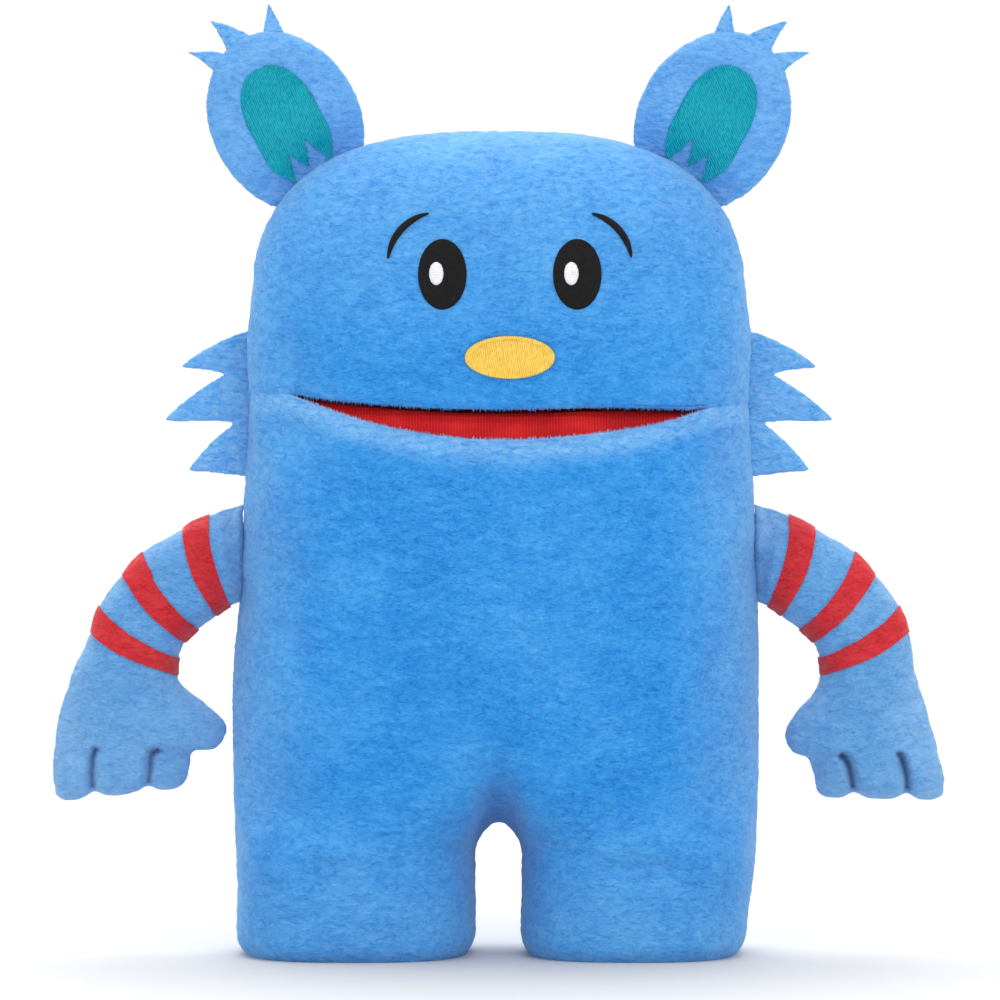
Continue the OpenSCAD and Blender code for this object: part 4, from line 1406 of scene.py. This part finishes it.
# %% sleeve
def path_along(u, half_x, y_front, y_back, r):
    """A rounded rectangle seen from above, starting and ending at the middle of its front."""
    arc = np.linspace(0, np.pi / 2, 5)
    xs, ys = [0.0], [y_front]
    for cx, cy, turn in ((half_x - r, y_front + r, 0), (half_x - r, y_back - r, 1),
                         (-half_x + r, y_back - r, 2), (-half_x + r, y_front + r, 3)):
        a = -np.pi / 2 + turn * np.pi / 2 + arc
        xs += list(cx + r * np.cos(a))
        ys += list(cy + r * np.sin(a))
    xs.append(0.0)
    ys.append(y_front)
    xs, ys = np.array(xs), np.array(ys)
    far = np.concatenate([[0], np.cumsum(np.hypot(np.diff(xs), np.diff(ys)))])
    return np.interp(u * far[-1], far, xs), np.interp(u * far[-1], far, ys)


SLEEVE_LOW, SLEEVE_HIGH = corner("hand_sleeve", 0)[2], corner("hand_sleeve", 1)[2]
SLEEVE_HALF, SLEEVE_FRONT = corner("hand_sleeve", 1)[0], corner("hand_sleeve", 0)[1]
SLEEVE_BACK = corner("opening_binding", 0)[1]
SLEEVE_COLS, SLEEVE_ROWS = 120, 60


def sleeve_place(u, v):
    x, y = path_along(u, SLEEVE_HALF - 0.3, SLEEVE_FRONT + 0.3, SLEEVE_BACK - 0.2, 8.0)
    shut = smooth(v / 0.05)
    z = mix(SLEEVE_LOW + 0.5, SLEEVE_HIGH, v)
    return x * mix(0.985, 1, shut), mix((SLEEVE_FRONT + SLEEVE_BACK) / 2, y, shut), z


def in_window(u, v):
    x, y, z = sleeve_place(np.array([u]), np.array([v]))
    return abs(x[0]) < OPEN_HALF and y[0] > SLEEVE_BACK - 1.5 and OPEN_LOW < z[0] < OPEN_HIGH


sleeve = cut_with_holes("sleeve_cloth", SLEEVE_COLS, SLEEVE_ROWS, sleeve_place, in_window)
weld(sleeve, 0.3)
co = points_of(sleeve)
folds = np.array([noise.noise(Vector((x / 26, y / 26, z / 60 + 7))) for x, y, z in co])
loose = smooth((SLEEVE_BACK - 6 - co[:, 1]) / 8) * smooth((co[:, 2] - 64) / 10)
co[:, 1] += 2.4 * np.abs(folds) * loose
set_points(sleeve, co)
apply_modifier(sleeve, "SUBSURF", levels=1, render_levels=1)
apply_modifier(sleeve, "SOLIDIFY", thickness=1.1 * MM, offset=-1.0)
shade(sleeve)
dress(sleeve, lining_cloth)
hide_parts("hand_sleeve")
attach(sleeve, "torso")

# %% binding round the hand opening
BIND_HALF_W, BIND_HALF_T = 2.5, 1.3
BIND_Y = (corner("opening_binding", 0)[1] + corner("opening_binding", 1)[1]) / 2


def binding_place(u, v):
    mid_x, mid_z = OPEN_HALF + BIND_HALF_W, (OPEN_HIGH - OPEN_LOW) / 2 + BIND_HALF_W
    x, z = path_along(u, mid_x, -mid_z, mid_z, 4.5)
    step = 1e-3
    x2, z2 = path_along((u + step) % 1, mid_x, -mid_z, mid_z, 4.5)
    dx, dz = x2 - x, z2 - z
    size = np.maximum(np.hypot(dx, dz), 1e-9)
    out_x, out_z = dz / size, -dx / size
    a = 2 * np.pi * v
    ease = 1 - 0.10 * np.abs(np.sin(np.pi * u * 110)) ** 4
    across = BIND_HALF_W * np.sign(np.cos(a)) * np.abs(np.cos(a)) ** 0.8
    return (x + across * out_x, BIND_Y + BIND_HALF_T * ease * np.sin(a),
            (OPEN_LOW + OPEN_HIGH) / 2 + z + across * out_z)


binding = cut("binding_hem", 330, 16, binding_place)
weld(binding, 0.05)
shade(binding)
dress(binding, lining_cloth)
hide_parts("opening_binding")
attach(binding, "torso")
print("binding", len(binding.data.polygons), "faces")


# %% pockets
def copy_of(node, name):
    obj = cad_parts[node].copy()
    obj.data = obj.data.copy()
    bpy.context.collection.objects.link(obj)
    obj.hide_render = False
    obj.hide_viewport = False
    obj.name = obj.data.name = name
    weld(obj, 0.01)
    return obj


def make_pocket(name, node, body):
    obj = copy_of(node, name)
    apply_modifier(obj, "REMESH", mode="VOXEL", voxel_size=0.75 * MM)
    apply_modifier(obj, "SMOOTH", iterations=4, factor=0.5)
    raise_pile(obj, 0.25, 9.0, 20.0)
    shade(obj)
    dress(obj, lining_cloth)
    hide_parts(node)
    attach(obj, body)
    print(name, len(obj.data.polygons), "faces")
    return obj


make_pocket("finger_pocket_cloth", "finger_pocket", "head")
make_pocket("thumb_pocket_cloth", "thumb_pocket", "lower_jaw")


# %% filling
def filling(name, node, body):
    obj = copy_of(node, name)
    apply_modifier(obj, "REMESH", mode="VOXEL", voxel_size=2.5 * MM)
    apply_modifier(obj, "SMOOTH", iterations=4, factor=0.5)
    co = points_of(obj)
    middle = (co.max(axis=0) + co.min(axis=0)) / 2
    set_points(obj, middle + (co - middle) * 0.985)
    raise_pile(obj, 0.5, 8.0, 22.0)
    shade(obj)
    dress(obj, polyester_fill)
    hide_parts(node)
    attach(obj, body)
    print(name, len(obj.data.polygons), "faces")
    return obj


filling("belly_filling", "belly_stuffing", "torso")
filling("left_leg_filling", "left_leg_stuffing", "torso")
filling("right_leg_filling", "right_leg_stuffing", "torso")
filling("head_filling", "head_stuffing", "head")

# %% [markdown]
# ## Pile at the lips
# Where plush is turned in at a lip, its pile hangs over the edge. Two narrow strips of zigzag cloth
# along each lip stand for it: every second point is a tip, and each tip has its own length.


# %% pile along an edge
def pile_edge(name, line, out, length, count, material):
    """line(u) gives the edge's points, out(u) the direction in which the tips point."""
    layers = []
    for layer in range(2):
        def place(u, v, layer=layer):
            c = np.round(u * 2 * count)
            tip = (c + layer) % 2 == 0
            pick = np.array([noise.noise(Vector((k * 0.73, 3.1 + layer, 0.5))) for k in c])
            lean = np.array([noise.noise(Vector((k * 0.41, 8.7, layer))) for k in c])
            x, y, z = line(u)
            dx, dy, dz = out(u)
            far = np.where(tip, length * (0.75 + 0.7 * pick), 0.15 * length) * v
            return (x + dx * far + 0.8 * lean * v * tip, y + dy * far + (0.35 - 0.7 * layer) * (1 - v),
                    z + dz * far)
        part = cut(f"{name}_{layer}", 2 * count, 2, place)
        apply_modifier(part, "SOLIDIFY", thickness=0.25 * MM, offset=0.0)
        layers.append(part)
    obj = join(layers, name)
    shade(obj, 80)
    dress(obj, material)
    return obj


# %% upper and lower lip pile
LIP_SPAN = MOUTH_HALF + 2


def lip_line(sag, side, tuck):
    def line(u):
        x = (2 * u - 1) * LIP_SPAN
        z = lip(x, sag) + side * 1.0
        return x, -torso_depth(x, np.full_like(x, LIP_LEVEL), FRONT_RISE) + tuck, z
    return line


upper_pile = pile_edge("upper_lip_pile", lip_line(UPPER_SAG, 1, 0.6),
                       lambda u: (0 * u, 0.15 + 0 * u, -1 + 0 * u), 1.7, 260, body_plush)
sew(upper_pile, face_weight)
# The lower lip's pile wears the lit copy of the plush: painted light.
lower_pile = pile_edge("lower_lip_pile", lip_line(LOWER_SAG, -1, 0.9),
                       lambda u: (0 * u, 0.1 + 0 * u, 1 + 0 * u), 1.5, 260, lit_lip_plush)
sew(lower_pile, jaw_weight)
print("lip pile done")

# %% [markdown]
# ## Floor, light and camera
# The puppet stands on a plain pale floor in soft light: a large key from its own front left, a weaker
# fill from its right, a wide light from above and behind, and a bright room round it. The camera looks
# from a little above through a long lens.

# %% floor
bpy.ops.object.select_all(action="DESELECT")
bpy.ops.mesh.primitive_plane_add(size=60.0, location=(0, 0, 0))
floor = bpy.context.object
floor.name = "floor"
floor_mat, floor_tree, floor_shader = new_material("pale_floor", 0.7, specular=0.2)
floor_tone = ramp(floor_tree, grain(floor_tree, place_coords(floor_tree), 400, 2.0),
                  [(0.3, "#CFCFD0"), (0.5, "#D1D1D2"), (0.7, "#D3D3D4")])
floor_tree.links.new(floor_tone, floor_shader.inputs["Base Color"])
floor.data.materials.append(floor_mat)

# %% light
world = bpy.context.scene.world or bpy.data.worlds.new("room")
bpy.context.scene.world = world
world.use_nodes = True
world.node_tree.nodes["Background"].inputs["Color"].default_value = (1, 1, 1, 1)
world.node_tree.nodes["Background"].inputs["Strength"].default_value = 1.02


def soft_light(name, place, power, size):
    data = bpy.data.lights.new(name, "AREA")
    data.energy, data.size = power, size
    lamp = bpy.data.objects.new(name, data)
    bpy.context.collection.objects.link(lamp)
    lamp.location = place
    lamp.rotation_euler = (Vector((0, 0, 0.17)) - Vector(place)).to_track_quat("-Z", "Y").to_euler()
    return lamp


soft_light("key", (0.9, -1.5, 1.2), 9, 0.9)
soft_light("fill", (-1.2, -1.3, 0.6), 3, 1.2)

# A wide, soft light from above and behind lays the puppet's shadow in front of its feet.
sun = bpy.data.objects.new("overhead", bpy.data.lights.new("overhead", "SUN"))
sun.data.energy, sun.data.angle = 2.2, math.radians(60)
sun.rotation_euler = Vector((0.1, -0.5, -0.85)).to_track_quat("-Z", "Y").to_euler()
bpy.context.collection.objects.link(sun)
bpy.context.scene.view_settings.view_transform = "Standard"

# %% camera
CAMERA_FAR, CAMERA_UP, VIEW_WIDTH = 3.2, math.radians(2.4), 0.3717
SENSOR = 36.0
camera_data = bpy.data.cameras.new("camera")
camera_data.sensor_width = SENSOR
camera_data.lens = SENSOR * CAMERA_FAR / VIEW_WIDTH
camera = bpy.data.objects.new("camera", camera_data)
bpy.context.collection.objects.link(camera)
aim = Vector((0.0004, 0, 0.1686))
camera.location = aim + CAMERA_FAR * Vector((0, -math.cos(CAMERA_UP), math.sin(CAMERA_UP)))
camera.rotation_euler = (aim - camera.location).to_track_quat("-Z", "Y").to_euler()
bpy.context.scene.camera = camera
print("camera", round(camera_data.lens), "mm lens,", CAMERA_FAR, "m away")
